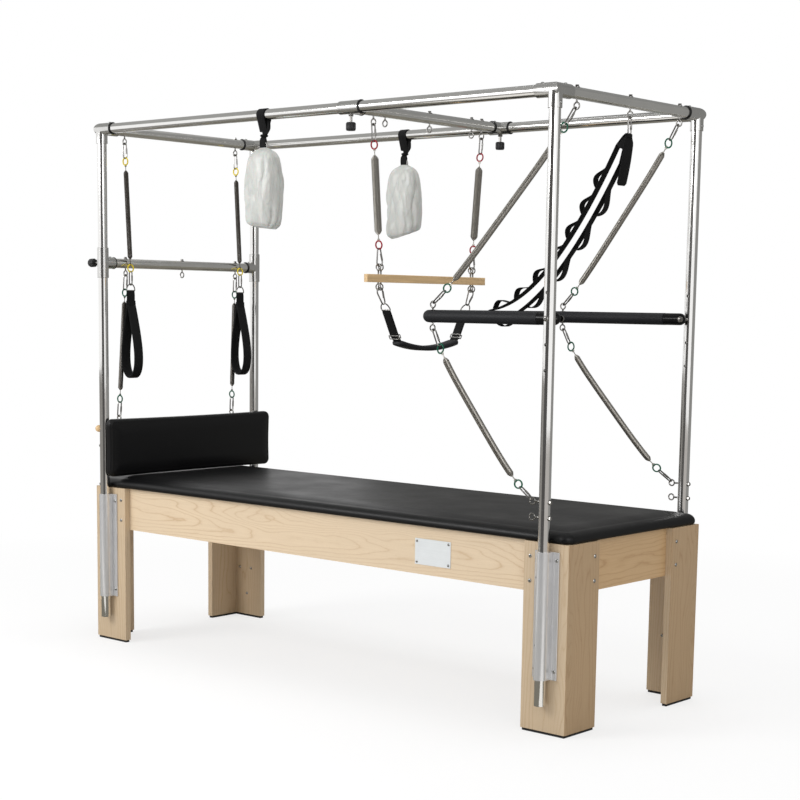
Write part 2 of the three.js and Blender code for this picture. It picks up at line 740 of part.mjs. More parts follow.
// Long top rails and the two fixed cross tubes
const railHalf = postX - CORNER_TUBE_START;
const crossHalf = postY - CORNER_TUBE_START;
[['front', -1], ['rear', 1]].forEach(([side, signY]) => {
  const rail = pipe(at(-railHalf, 0, 0), at(railHalf, 0, 0), TUBE_RADIUS, TUBE_WALL, TUBE_SIDES);
  place(table, `${side}_top_rail`, rail, 'chrome', at(0, signY * postY, TOP_AXIS));
});

function eyedCrossTube(half, eyeYs) {
  const tube = pipe(at(0, -half, 0), at(0, half, 0), TUBE_RADIUS, TUBE_WALL, TUBE_SIDES);
  const eyes = eyeYs.flatMap((y) => eyebolt(at(0, y, 0), at(0, 0, -1), EYE_DROP, TUBE_RADIUS));
  return join([tube, ...eyes]);
}

place(table, 'near_top_crossbar', eyedCrossTube(crossHalf, [-OUTER_EYE_Y, 0, OUTER_EYE_Y]),
  'fitting', at(postX, 0, TOP_AXIS));
place(table, 'far_top_crossbar', eyedCrossTube(crossHalf, [-OUTER_EYE_Y, OUTER_EYE_Y]),
  'fitting', at(-postX, 0, TOP_AXIS));

// A sliding cross bar: a tube with a tee at each end that runs on a rail or post.
// runAlong is the way the tees slide; knobSides are the tees with a locking screw through their wall.
function slider(runAlong, sleeve, eyeYs, knobSides, knobAway) {
  const half = postY - boreRadius - OVERRUN;
  const parts = [rod(at(0, -half, 0), at(0, half, 0), TUBE_RADIUS, TUBE_SIDES)];
  const bores = [];
  [-1, 1].forEach((signY) => {
    const middle = at(0, signY * postY, 0);
    const reach = runAlong.clone().multiplyScalar(sleeve / 2);
    parts.push(rod(middle.clone().sub(reach), middle.clone().add(reach), fittingRadius, TUBE_SIDES));
    parts.push(rod(middle, at(0, signY * (postY - TEE_ARM), 0), fittingRadius, TUBE_SIDES));
    const through = runAlong.clone().multiplyScalar(sleeve / 2 + OVERRUN);
    bores.push(rod(middle.clone().sub(through), middle.clone().add(through), boreRadius, TUBE_SIDES));
  });
  knobSides.forEach((signY) => {
    const middle = at(0, signY * postY, 0);
    const inside = knobAway.clone().multiplyScalar(boreRadius - OVERRUN);
    const outside = knobAway.clone().multiplyScalar(fittingRadius + OVERRUN);
    bores.push(rod(inside.add(middle), outside.add(middle), clearRound(KNOB_STEM, HOLE_SIDES), HOLE_SIDES));
  });
  const eyes = eyeYs.flatMap((y) => eyebolt(at(0, y, 0), at(0, 0, -1), EYE_DROP, TUBE_RADIUS));
  return join([cut(join(parts), bores), ...eyes]);
}

// Radius of a many-sided hole in which a round of the same number of sides can turn.
function clearRound(radius, sides) {
  return (radius + FIT_GAP) / Math.cos(Math.PI / sides);
}

// A fluted knob on its screw, which ends just off the tube; the knob stands off along one direction.
function knob(away) {
  const points = [];
  for (let i = 0; i < 2 * KNOB_LOBES; i += 1) {
    const radius = KNOB_RADIUS - (i % 2) * KNOB_LOBE_DEPTH;
    const angle = Math.PI * i / KNOB_LOBES;
    points.push([radius * Math.cos(angle), radius * Math.sin(angle)]);
  }
  const grip = raised(points, KNOB_START, KNOB_HEIGHT);
  const stem = rod(at(0, 0, boreRadius), at(0, 0, KNOB_START + OVERRUN), KNOB_STEM, HOLE_SIDES);
  const geometry = geometryOf(grip.add(stem));
  geometry.applyQuaternion(new THREE.Quaternion().setFromUnitVectors(UP, away));
  return solid(geometry);
}

const trapezeEyes = [-OUTER_EYE_Y, -INNER_EYE_Y, 0, INNER_EYE_Y, OUTER_EYE_Y];
const downwards = at(0, 0, -1);
const outwards = at(-1, 0, 0);
place(table, 'trapeze_slider', slider(at(1, 0, 0), TEE_SLEEVE, trapezeEyes, [-1, 1], downwards), 'fitting',
  at(TRAPEZE_X, 0, TOP_AXIS));
place(table, 'mid_slider', slider(UP, TEE_TALL_SLEEVE, [-OUTER_EYE_Y, 0, OUTER_EYE_Y], [-1], outwards),
  'fitting', at(-postX, 0, MID_AXIS));
[['front', -1], ['rear', 1]].forEach(([side, signY]) => {
  place(table, `trapeze_knob_${side}`, knob(downwards), 'knob', at(TRAPEZE_X, signY * postY, TOP_AXIS));
});
place(table, 'mid_slider_knob', knob(outwards), 'knob', at(-postX, -postY, MID_AXIS));

// Push-through bar: a steel tube in a padded sleeve, bent to a U, on two pivot bolts
function pushBarPath(overrun) {
  const points = [at(postX + PUSH_END + overrun, -pushY, 0)];
  [-1, 1].forEach((signY) => {
    for (let i = 0; i <= PUSH_BEND_STEPS; i += 1) {
      const step = signY < 0 ? i : PUSH_BEND_STEPS - i;
      const angle = Math.PI / 2 * step / PUSH_BEND_STEPS;
      points.push(at(
        pushCrossX + PUSH_BEND * (1 - Math.sin(angle)),
        signY * (pushY - PUSH_BEND * (1 - Math.cos(angle))),
        0,
      ));
    }
  });
  points.push(at(postX + PUSH_END + overrun, pushY, 0));
  return points;
}

const bothSides = [-1, 1];
const pivotBores = bothSides.map((signY) => {
  const inside = pushY + PUSH_RADIUS - PIVOT_DEPTH;
  const outside = pushY + PUSH_RADIUS + OVERRUN;
  return rod(at(postX, signY * inside, 0), at(postX, signY * outside, 0),
    clearRound(PIVOT_RADIUS, HOLE_SIDES), HOLE_SIDES);
});
const pushEyes = bothSides.flatMap((signY) => bothSides.flatMap((signZ) => eyebolt(
  at(pushEye.x, signY * pushEye.y, 0), at(0, 0, signZ), EYE_DROP, PUSH_CORE_RADIUS, false,
)));
const shankBores = bothSides.map((signY) => {
  const middle = at(pushEye.x, signY * pushEye.y, 0);
  const reach = at(0, 0, PUSH_RADIUS + OVERRUN);
  return rod(middle.clone().sub(reach), middle.clone().add(reach), EYE_SHANK + FIT_GAP, SHANK_SIDES);
});
const pushCore = cut(wire(pushBarPath(0), PUSH_CORE_RADIUS, PUSH_CORE_SIDES), pivotBores);
const coreBore = wire(pushBarPath(OVERRUN), PUSH_CORE_RADIUS + FIT_GAP, PUSH_CORE_SIDES);
const pushPad = wire(pushBarPath(0), PUSH_RADIUS, PUSH_SIDES);
const pushPlace = at(0, 0, PUSH_AXIS);
place(table, 'push_bar_tube', join([pushCore, ...pushEyes]), 'chrome', pushPlace);
place(table, 'push_bar_pad', cut(pushPad, [coreBore, ...pivotBores, ...shankBores]), 'pad', pushPlace);
[['front', -1], ['rear', 1]].forEach(([side, signY]) => {
  const headStart = signY * (postY + TUBE_RADIUS + FIT_GAP);
  const headEnd = headStart + signY * PIVOT_HEAD;
  const tip = signY * (pushY + PUSH_RADIUS - PIVOT_DEPTH + FIT_GAP);
  const bolt = join([
    rod(at(0, headStart, 0), at(0, headEnd, 0), PIVOT_HEAD_RADIUS, NUT_SIDES),
    rod(at(0, headEnd, 0), at(0, tip, 0), PIVOT_RADIUS, HOLE_SIDES),
  ]);
  place(table, `${side}_pivot_bolt`, bolt, 'chrome', at(postX, 0, PUSH_AXIS));
});

// Springs of the push-through bar, the trapeze, the foot loops and the roll-down bar
const eyeBelow = TOP_AXIS - EYE_DROP;
[['front', -1], ['rear', 1]].forEach(([side, signY]) => {
  const push = { coilRadius: PUSH_COIL_RADIUS, wireRadius: HEAVY_WIRE };
  const heavy = { coilRadius: HEAVY_COIL_RADIUS, wireRadius: HEAVY_WIRE };
  const light = { coilRadius: LIGHT_COIL_RADIUS, wireRadius: LIGHT_WIRE };
  const topEye = at(postX, signY * OUTER_EYE_Y, eyeBelow);
  const pushTop = at(pushEye.x, signY * pushEye.y, PUSH_AXIS + EYE_DROP);
  const pushLow = at(pushEye.x, signY * pushEye.y, PUSH_AXIS - EYE_DROP);
  const postEye = at(postX - POST_EYE_REACH, signY * postY, POST_EYE_HEIGHTS[0]);
  placeSpring(`push_upper_spring_${side}`, hookPoint(topEye, pushTop), hookPoint(pushTop, topEye),
    { ...push, curls: PUSH_UPPER_CURLS });
  placeSpring(`push_lower_spring_${side}`, hookPoint(pushLow, postEye), hookPoint(postEye, pushLow),
    { ...push, curls: PUSH_LOWER_CURLS });
  const trapezeTop = at(TRAPEZE_X, signY * OUTER_EYE_Y, eyeBelow - EYE_RADIUS);
  const barEye = at(TRAPEZE_X, signY * TRAPEZE_EYE_Y, TRAPEZE_BAR_AXIS + EYE_DROP + EYE_RADIUS);
  const lean = Math.atan2(OUTER_EYE_Y - TRAPEZE_EYE_Y, trapezeTop.z - barEye.z);
  const farRest = restPast(CLIP_WIDE_BEND, TWIN_EYE_HALF, lean);
  placeSpring(`trapeze_spring_${side}`, trapezeTop, barEye,
    { ...heavy, curls: TRAPEZE_CURLS, farBend: CLIP_WIDE_BEND, farRest });
  const midEye = at(-postX, signY * OUTER_EYE_Y, MID_AXIS - EYE_DROP - EYE_RADIUS);
  const rollEye = at(rollBarX, signY * ROLL_EYE_Y, ROLL_BAR_AXIS + EYE_DROP + EYE_RADIUS);
  placeSpring(`roll_down_spring_${side}`, midEye, rollEye, { ...light, curls: ROLL_CURLS });
});

// The foot springs lean over the front of the mid bar and end in a hanging clip
const footTop = eyeBelow - EYE_RADIUS;
const footDrop = footTop - (MID_AXIS - TUBE_RADIUS);
const footRingX = -postX + footDrop * Math.tan(FOOT_LEAN);
const footRing = { x: footRingX, z: footTop - footDrop };
const footClipTop = footRing.z - RING_RADIUS + crossed(RING_WIRE, CLIP_WIRE);
const footClipBottom = footClipTop - CLIP_LENGTH + hookRest;
[['front', -1], ['rear', 1]].forEach(([side, signY]) => {
  const from = at(-postX, signY * OUTER_EYE_Y, footTop);
  const to = at(footRing.x, signY * OUTER_EYE_Y, footRing.z);
  const turn = alongPull(from, to);
  const hung = geometryOf(springBody({
    length: from.distanceTo(to), coilRadius: LIGHT_COIL_RADIUS, wireRadius: LIGHT_WIRE,
    curls: FOOT_CURLS, turnFar: true, farClip: false,
  }));
  hung.applyQuaternion(turn);
  const low = clip(footClipBottom - footTop, footClipTop - footTop, CLIP_BEND, CLIP_BEND, at(1, 0, 0),
    at(footRing.x + postX, 0, 0));
  place(table, `foot_spring_${side}`, solid(hung).add(low), 'spring', from);
});

// A foot loop: D-ring, doubled webbing neck and a padded teardrop of webbing
function footLoop() {
  const barZ = -DEE_HEIGHT;
  const neckEnd = barZ - LOOP_NECK;
  const path = [];
  for (let i = 0; i <= LOOP_STEPS; i += 1) {
    const angle = Math.PI * (2 * i / LOOP_STEPS - 1);
    const down = (1 + Math.cos(angle)) / 2;
    const bulge = Math.sin(angle) * Math.sqrt(down) * (1 + LOOP_WIDEST_SHARE * down);
    const z = neckEnd - (LOOP_LENGTH - LOOP_NECK) * down;
    path.push(new THREE.Vector2(LOOP_SHIFT * Math.sqrt(down) + LOOP_HALF_GAP * bulge, z));
  }
  const half = LOOP_THICK / 2;
  path[0].set(-half, neckEnd);
  path[LOOP_STEPS].set(half, neckEnd);
  const neck = [new THREE.Vector2(0, barZ), new THREE.Vector2(0, neckEnd - LOOP_THICK)];
  return join([
    deeRing(barZ, at(0, 1, 0), at(0, 0, 0)),
    ribbon(neck, 2 * LOOP_THICK, 2 * (DEE_HALF - DEE_WIRE)),
    ribbon(path, LOOP_THICK, LOOP_WIDTH),
  ]);
}

const loopHang = footClipBottom + CLIP_WIRE * FLAT_SHARE + DEE_WIRE + FIT_GAP;
[['front', -1], ['rear', 1]].forEach(([side, signY]) => {
  place(table, `foot_loop_${side}`, footLoop(), 'webbing', at(footRing.x, signY * OUTER_EYE_Y, loopHang));
});

// The flat trapeze bar with twin eyes above and below, and the round roll-down bar
const trapezeBarHalf = at(TRAPEZE_BAR_THICK / 2, TRAPEZE_BAR_HALF, TRAPEZE_BAR_HEIGHT / 2);
const twinEyes = bothSides.flatMap((signY) => bothSides.flatMap((twin) => {
  const y = signY * TRAPEZE_EYE_Y + twin * TWIN_EYE_HALF;
  return [
    ...eyebolt(at(0, y, 0), at(0, 0, 1), EYE_DROP, trapezeBarHalf.z, false),
    ...eyebolt(at(0, y, 0), at(0, 0, -1), EYE_LOW_DROP, trapezeBarHalf.z, false),
  ];
}));
const trapezeBar = join([block(trapezeBarHalf.clone().negate(), trapezeBarHalf), ...twinEyes]);
place(table, 'trapeze_bar', trapezeBar, 'barWood', at(TRAPEZE_X, 0, TRAPEZE_BAR_AXIS));
const rollEyes = bothSides.flatMap((signY) => eyebolt(
  at(0, signY * ROLL_EYE_Y, 0), at(0, 0, 1), EYE_DROP, ROLL_BAR_RADIUS, false,
));
const rollBar = rod(at(0, -ROLL_BAR_HALF, 0), at(0, ROLL_BAR_HALF, 0), ROLL_BAR_RADIUS, WOOD_BAR_SIDES);
place(table, 'roll_down_bar', join([rollBar, ...rollEyes]), 'barWood', at(rollBarX, 0, ROLL_BAR_AXIS));

// Padded sling under the trapeze, made in X and Z and then turned across the table
function trapezeSling() {
  const hookZ = TRAPEZE_BAR_AXIS - EYE_LOW_DROP - EYE_RADIUS;
  const lean = Math.atan2(TRAPEZE_EYE_Y - SLING_BUCKLE_Y, hookZ - SLING_BUCKLE_Z);
  const strapEnd = -(hookZ - SLING_BUCKLE_Z) / Math.cos(lean);
  const clipBottom = hookRest - CLIP_LENGTH;
  const deeBar = clipBottom + crossed(CLIP_WIRE, DEE_WIRE) - DEE_HEIGHT;
  const chain = [
    clip(clipBottom, restPast(CLIP_WIDE_BEND, TWIN_EYE_HALF, lean), CLIP_BEND, CLIP_WIDE_BEND, at(1, 0, 0)),
    deeRing(deeBar, at(0, 1, 0), at(0, 0, 0)),
    uprightRibbon(0, deeBar, strapEnd, 2 * SLING_STRAP_THICK, slingStrapWidth),
    uprightRibbon(0, strapEnd + SLING_BUCKLE_HALF, strapEnd - SLING_BUCKLE_HALF, SLING_BUCKLE_THICK,
      slingStrapWidth + 2 * SLING_STRAP_THICK),
  ];
  const parts = bothSides.flatMap((side) => {
    const hung = geometryOf(join(chain));
    hung.rotateY(side * lean);
    hung.translate(side * TRAPEZE_EYE_Y, 0, hookZ);
    const buckle = new THREE.Vector2(side * SLING_BUCKLE_Y, SLING_BUCKLE_Z);
    const padEnd = new THREE.Vector2(side * SLING_PAD_END_Y, SLING_PAD_END_Z);
    return [solid(hung), ribbon([buckle, padEnd], 2 * SLING_STRAP_THICK, slingStrapWidth - FIT_GAP)];
  });
  const pad = [];
  for (let i = 0; i <= SLING_PAD_STEPS; i += 1) {
    const share = 2 * i / SLING_PAD_STEPS - 1;
    const rise = (SLING_PAD_END_Z - SLING_BOTTOM_Z) * share ** 2;
    pad.push(new THREE.Vector2(SLING_PAD_END_Y * share, SLING_BOTTOM_Z + rise));
  }
  parts.push(ribbon(pad, SLING_PAD_THICK, SLING_PAD_WIDTH));
  const geometry = geometryOf(join(parts));
  geometry.rotateZ(Math.PI / 2);
  return solid(geometry);
}

function uprightRibbon(x, fromZ, toZ, thickness, width) {
  return ribbon([new THREE.Vector2(x, fromZ), new THREE.Vector2(x, toZ)], thickness, width);
}

place(table, 'trapeze_sling', trapezeSling(), 'webbing', at(TRAPEZE_X, 0, 0));

// Safety strap: down one side, round the push-through bar and up the other, with loops outside
function safetyStrap() {
  const wrapRadius = clearRound(PUSH_RADIUS, 2 * SAFETY_WRAP_STEPS) + SAFETY_THICK / 2;
  const bar = new THREE.Vector2(pushCrossX, PUSH_AXIS);
  const arrive = new THREE.Vector2(-Math.cos(SAFETY_ARRIVAL), -Math.sin(SAFETY_ARRIVAL));
  const touch = (turn) => arrive.clone()
    .rotateAround(new THREE.Vector2(), turn)
    .multiplyScalar(wrapRadius)
    .add(bar);
  const strand = (start, turn) => {
    const end = touch(turn);
    const bend = arrive.clone().multiplyScalar(-SAFETY_CURVE_SHARE * start.distanceTo(end)).add(end);
    return new THREE.QuadraticBezierCurve(start, bend, end);
  };
  const top = new THREE.Vector2(postX - SAFETY_TOP_INSET, SAFETY_TOP_Z);
  const upper = strand(top, -Math.PI / 2);
  const lower = strand(new THREE.Vector2(top.x, top.y - SAFETY_DROP), Math.PI / 2);
  const path = upper.getPoints(SAFETY_STEPS);
  for (let i = 1; i < SAFETY_WRAP_STEPS; i += 1) {
    path.push(touch(-Math.PI / 2 + Math.PI * i / SAFETY_WRAP_STEPS));
  }
  path.push(...lower.getPoints(SAFETY_STEPS).reverse());
  const parts = [ribbon(path, SAFETY_THICK, SAFETY_WIDTH, true)];
  [[upper, SAFETY_UPPER_LOOPS, -1], [lower, SAFETY_LOWER_LOOPS, 1]].forEach(([curve, loops, outward]) => {
    for (let n = 0; n < loops; n += 1) {
      const arc = [];
      for (let i = 0; i <= SAFETY_ARC_STEPS; i += 1) {
        const share = i / SAFETY_ARC_STEPS;
        const along = (n + 1 / 2 + SAFETY_LOOP_SHARE * (share - 1 / 2)) / loops;
        const run = curve.getTangentAt(along);
        const rise = outward * SAFETY_LOOP_RISE * Math.sqrt(Math.sin(Math.PI * share));
        arc.push(new THREE.Vector2(-run.y, run.x).multiplyScalar(rise).add(curve.getPointAt(along)));
      }
      parts.push(ribbon(arc, SAFETY_THICK, SAFETY_WIDTH));
    }
  });
  const eye = TOP_AXIS - EYE_DROP - EYE_RADIUS;
  const clipLow = top.y - SAFETY_THICK - crossed(CLIP_WIRE, 0);
  parts.push(clip(clipLow, eye + hookRest, CLIP_BEND, CLIP_BEND, at(0, 1, 0), at(postX, 0, 0)));
  const loopEnd = new THREE.Vector2(postX + SAFETY_WIDTH / 2, top.y);
  parts.push(ribbon([loopEnd, top], 2 * SAFETY_THICK, SAFETY_WIDTH));
  const tailEnd = new THREE.Vector2(postX - SAFETY_TAIL_LEAN, top.y - SAFETY_TAIL_LENGTH);
  parts.push(ribbon([new THREE.Vector2(postX, top.y), tailEnd], SAFETY_TAIL_THICK, SAFETY_TAIL_WIDTH));
  return join(parts);
}

place(table, 'safety_strap', safetyStrap(), 'webbing');

// A bagged fleece sling: a soft folded bundle and the strap that loops over the rail
function baggedSling() {
  const corners = [];
  const faces = [];
  for (let i = 0; i <= BAG_RINGS; i += 1) {
    const share = i / BAG_RINGS;
    const z = BAG_BOTTOM + (BAG_TOP - BAG_BOTTOM) * (1 - Math.cos(Math.PI * share)) / 2;
    const halfTurn = BAG_BOTTOM_SHARE + share * (1 - BAG_BOTTOM_SHARE - BAG_TOP_SHARE);
    const full = Math.sin(Math.PI * halfTurn) ** BAG_FULLNESS;
    for (let k = 0; k < BAG_SIDES; k += 1) {
      const angle = 2 * Math.PI * k / BAG_SIDES;
      const reach = full * (1 + BAG_FOLD_SHARE * Math.cos(BAG_FOLDS * angle));
      corners.push(at(BAG_HALF_X * reach * Math.cos(angle), BAG_HALF_Y * reach * Math.sin(angle), z));
    }
  }
  for (let i = 0; i < BAG_RINGS; i += 1) {
    for (let k = 0; k < BAG_SIDES; k += 1) {
      const a = i * BAG_SIDES + k;
      const b = i * BAG_SIDES + (k + 1) % BAG_SIDES;
      faces.push(a, b, a + BAG_SIDES, b, b + BAG_SIDES, a + BAG_SIDES);
    }
  }
  const topRing = BAG_RINGS * BAG_SIDES;
  for (let k = 1; k < BAG_SIDES - 1; k += 1) {
    faces.push(0, k + 1, k, topRing, topRing + k, topRing + k + 1);
  }
  const bundle = solid(facesOf(corners, faces));
  const wrap = clearRound(TUBE_RADIUS, 2 * BAG_STRAP_ARC_STEPS) + BAG_STRAP_THICK / 2;
  const path = [];
  for (let i = 0; i <= BAG_STRAP_ARC_STEPS; i += 1) {
    const angle = Math.PI * i / BAG_STRAP_ARC_STEPS;
    path.push(new THREE.Vector2(wrap * Math.cos(angle), TOP_AXIS + wrap * Math.sin(angle)));
  }
  path.push(new THREE.Vector2(-BAG_STRAP_THICK, BAG_TOP + wrap));
  path.push(new THREE.Vector2(-BAG_STRAP_THICK, BAG_TOP - wrap));
  path.push(new THREE.Vector2(BAG_STRAP_THICK, BAG_TOP - wrap));
  path.push(new THREE.Vector2(BAG_STRAP_THICK, BAG_TOP + wrap));
  const strap = geometryOf(ribbon(path, BAG_STRAP_THICK, BAG_STRAP_WIDTH, true));
  strap.rotateZ(Math.PI / 2);
  return bundle.add(solid(strap));
}

place(table, 'bagged_sling_front', baggedSling(), 'bag', at(FRONT_BAG_X, -postY, 0));
place(table, 'bagged_sling_rear', baggedSling(), 'bag', at(REAR_BAG_X, postY, 0));

// One level of a cushion: a rounded rectangle whose sides are drawn in between its corners.
function cushionOutline({ halfX, halfY, corner, draw, cellsX, cellsY, straightSide }, inset) {
  const round = Math.max(corner - inset, corner * LEAST_CORNER_SHARE);
  const signs = [[1, 1], [-1, 1], [-1, -1], [1, -1]];
  const arcs = signs.map(([signX, signY], quarter) => {
    const arc = [];
    for (let i = 0; i <= CUSHION_CORNER_STEPS; i += 1) {
      const angle = Math.PI / 2 * (quarter + i / CUSHION_CORNER_STEPS);
      arc.push(new THREE.Vector2(
        signX * (halfX - inset - round) + round * Math.cos(angle),
        signY * (halfY - inset - round) + round * Math.sin(angle),
      ));
    }
    return arc;
  });
  const points = arcs.flatMap((arc, quarter) => {
    const next = arcs[(quarter + 1) % arcs.length][0];
    const cells = quarter % 2 ? cellsY : cellsX;
    const last = arc[arc.length - 1];
    const side = [];
    for (let i = 1; i < cells; i += 1) {
      side.push(last.clone().lerp(next, i / cells));
    }
    return [...arc, ...side];
  });
  return points.map(({ x, y }) => {
    const drawX = straightSide && x < 0 ? 0 : draw;
    return [
      x * (1 - drawX / halfX * (1 - (y / halfY) ** 2)),
      y * (1 - draw / halfY * (1 - (x / halfX) ** 2)),
    ];
  });
}

// A cushion, lying on its back, made of levels: each has its inset from the edge and its height.
function cushion(shape, levels) {
  const rings = levels.map(([inset, z]) => cushionOutline(shape, inset).map(([x, y]) => at(x, y, z)));
  const count = rings[0].length;
  const faces = [];
  for (let i = 0; i < rings.length - 1; i += 1) {
    for (let k = 0; k < count; k += 1) {
      const a = i * count + k;
      const b = i * count + (k + 1) % count;
      faces.push(a, b, a + count, b, b + count, a + count);
    }
  }
  const flatFaces = (level) => {
    const outline = level.map(({ x, y }) => new THREE.Vector2(x, y));
    return THREE.ShapeUtils.triangulateShape(outline, []);
  };
  const topStart = (rings.length - 1) * count;
  flatFaces(rings[0]).forEach(([a, b, c]) => faces.push(a, c, b));
  flatFaces(rings[rings.length - 1]).forEach((face) => {
    faces.push(...face.map((index) => topStart + index));
  });
  return facesOf(rings.flat(), faces);
}

// Levels of a face that rises from its rounded edge to a crown.
function crownLevels(height, edge, crown, run) {
  return [
    [0, height - edge],
    [edge * (1 - Math.SQRT1_2), height - edge * (1 - Math.SQRT1_2)],
    [edge, height],
    [run * HALF_CROWN_SHARE, height + crown * (1 - (1 - HALF_CROWN_SHARE) ** 2)],
    [run, height + crown],
  ];
}

const mattressLevels = [
  [CUSHION_UNDER_EDGE, 0],
  [0, CUSHION_UNDER_EDGE],
  ...crownLevels(MATTRESS_THICKNESS, MATTRESS_EDGE, MATTRESS_CROWN, MATTRESS_CROWN_RUN),
];
place(table, 'mattress', solid(cushion({
  halfX: TABLE_HALF_LENGTH,
  halfY: TABLE_HALF_WIDTH,
  corner: MATTRESS_CORNER,
  draw: MATTRESS_DRAW,
  cellsX: MATTRESS_CELLS_X,
  cellsY: MATTRESS_CELLS_Y,
  straightSide: false,
}, mattressLevels)), 'pad', at(0, 0, mattressBottom));

// The bolster stands on one long side, just clear of the far posts
const bolsterSide = BOLSTER_THICKNESS / 2 - BOLSTER_CROWN;
const bolsterFace = crownLevels(bolsterSide, BOLSTER_EDGE, BOLSTER_CROWN, BOLSTER_CROWN_RUN);
const bolsterBack = bolsterFace.map(([inset, z]) => [inset, -z]).reverse();
const bolster = cushion({
  halfX: BOLSTER_HEIGHT / 2,
  halfY: BOLSTER_HALF_LENGTH,
  corner: BOLSTER_CORNER,
  draw: BOLSTER_DRAW,
  cellsX: BOLSTER_CELLS_X,
  cellsY: BOLSTER_CELLS_Y,
  straightSide: true,
}, [...bolsterBack, ...bolsterFace]);
bolster.rotateY(-Math.PI / 2);
const bolsterX = -postX + TUBE_RADIUS + FIT_GAP + BOLSTER_THICKNESS / 2;
const bolsterZ = mattressTop + FIT_GAP + BOLSTER_HEIGHT / 2;
place(table, 'bolster', solid(bolster), 'pad', at(bolsterX, BOLSTER_SHIFT, bolsterZ));

// Bare metal plate on the front rail, with a screw head near each corner
const plateY = -railOuterY - FIT_GAP;
const plateHalf = at(PLATE_WIDTH / 2, PLATE_THICK, PLATE_HEIGHT / 2);
const plateScrews = [-1, 1].flatMap((signX) => [-1, 1].map((signZ) => {
  const x = signX * (plateHalf.x - PLATE_SCREW_INSET);
  const z = signZ * (plateHalf.z - PLATE_SCREW_INSET);
  return rod(at(x, 0, z), at(x, -PLATE_THICK - PLATE_SCREW_HEAD, z), PLATE_SCREW_RADIUS, HOLE_SIDES);
}));
place(table, 'nameplate', join([
  block(at(-plateHalf.x, -PLATE_THICK, -plateHalf.z), at(plateHalf.x, 0, plateHalf.z)),
  ...plateScrews,
]), 'plate', at(PLATE_X, plateY, PLATE_Z));

export default table;
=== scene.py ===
"""Looks of a pilates trapeze table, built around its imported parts. Metres, +Z up."""

import math

import bpy
import numpy as np
from mathutils import Matrix, Vector, noise


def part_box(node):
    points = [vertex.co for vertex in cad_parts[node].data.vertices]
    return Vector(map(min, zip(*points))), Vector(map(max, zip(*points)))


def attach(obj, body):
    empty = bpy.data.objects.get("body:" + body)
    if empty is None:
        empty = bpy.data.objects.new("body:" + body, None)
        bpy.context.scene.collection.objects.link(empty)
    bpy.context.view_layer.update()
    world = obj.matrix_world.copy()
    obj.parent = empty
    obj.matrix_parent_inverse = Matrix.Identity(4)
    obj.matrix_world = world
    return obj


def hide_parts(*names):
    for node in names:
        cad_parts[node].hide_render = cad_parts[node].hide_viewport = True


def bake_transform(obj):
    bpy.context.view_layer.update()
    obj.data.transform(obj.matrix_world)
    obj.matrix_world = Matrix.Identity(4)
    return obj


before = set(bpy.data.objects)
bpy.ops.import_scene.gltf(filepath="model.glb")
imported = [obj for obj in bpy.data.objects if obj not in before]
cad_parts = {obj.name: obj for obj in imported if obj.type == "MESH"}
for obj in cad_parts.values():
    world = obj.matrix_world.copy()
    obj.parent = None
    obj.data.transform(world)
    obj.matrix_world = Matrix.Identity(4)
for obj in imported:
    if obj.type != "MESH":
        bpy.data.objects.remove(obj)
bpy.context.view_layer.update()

bl_info = {
    "name": "Trapeze Table",
    "version": (1, 0, 0),
    "blender": (4, 5, 0),
    "location": "3D View > Sidebar > Trapeze Table",
    "description": "Builds the finished pieces of a pilates trapeze table around its frame",
    "category": "Add Mesh",
}


def low(node):
    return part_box(node)[0]


def high(node):
    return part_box(node)[1]


def middle(node):
    return (low(node) + high(node)) / 2


def half_size(node):
    return [(b - a) / 2 for a, b in zip(low(node), high(node))]


# Directions, ends and sides
X, Y, Z = Vector((1, 0, 0)), Vector((0, 1, 0)), Vector((0, 0, 1))
SIDES = (("front", -1), ("rear", 1))
ENDS = (("near", 1), ("far", -1))
CORNERS = [(end, side, sign_x, sign_y) for end, sign_x in ENDS for side, sign_y in SIDES]

# Places that the frame gives
TUBE = half_size("front_top_rail")[2]
TOP = middle("front_top_rail").z
POST_X = middle("near_top_crossbar").x
POST_Y = middle("rear_top_rail").y
RAIL_END = high("front_top_rail").x
CROSS_END = high("near_top_crossbar").y
POST_FOOT = low("near_front_post").z
POST_HEAD = high("near_front_post").z
TRAPEZE_X = middle("trapeze_knob_rear").x
MID = middle("mid_slider_knob").z
PUSH = middle("push_bar_pad").z
PUSH_END_X = high("push_bar_pad").x
ROLL_X = middle("roll_down_bar").x
LEG_X = high("near_rear_leg").x
LEG_Y = high("near_rear_leg").y
BRACKET_LOW = low("near_front_post_bracket").z
BRACKET_HIGH = high("near_front_post_bracket").z
BRACKET_HALF = half_size("near_front_post_bracket")[0]

# Fits
GAP = 0.0003
TUBE_WALL = 0.002
FITTING = TUBE + GAP + 0.0034
BORE = TUBE + GAP
EASE = 0.0007
ARM = 0.052
SUNK = 0.0004
ROUND = 40
SMALL_ROUND = 12

# Screws of the base, from the table's middle
RAIL_SCREW_X = 1.025
END_SCREW_Y = 0.246
RAIL_SCREW_HEIGHTS = (0.580, 0.499)
LEG_SCREWS = ((1.130, 0.216), (1.085, 0.103), (1.060, 0.217))
LEG_BOARD = 0.025
PLATE_SCREW_X = 0.070
PLATE_SCREW_Z = 0.036
PLATE_SCREW = 0.0045
PLATE_SCREW_HEIGHT = 0.0018

# Screws and pins of the brackets, holes of the posts
BRACKET_SCREW_X = 0.0385
BRACKET_SCREW_HEIGHTS = (0.575, 0.215)
PIN_HEIGHTS = (0.520, 0.300)
HOLE = 0.005
HOLE_PITCH = 0.081

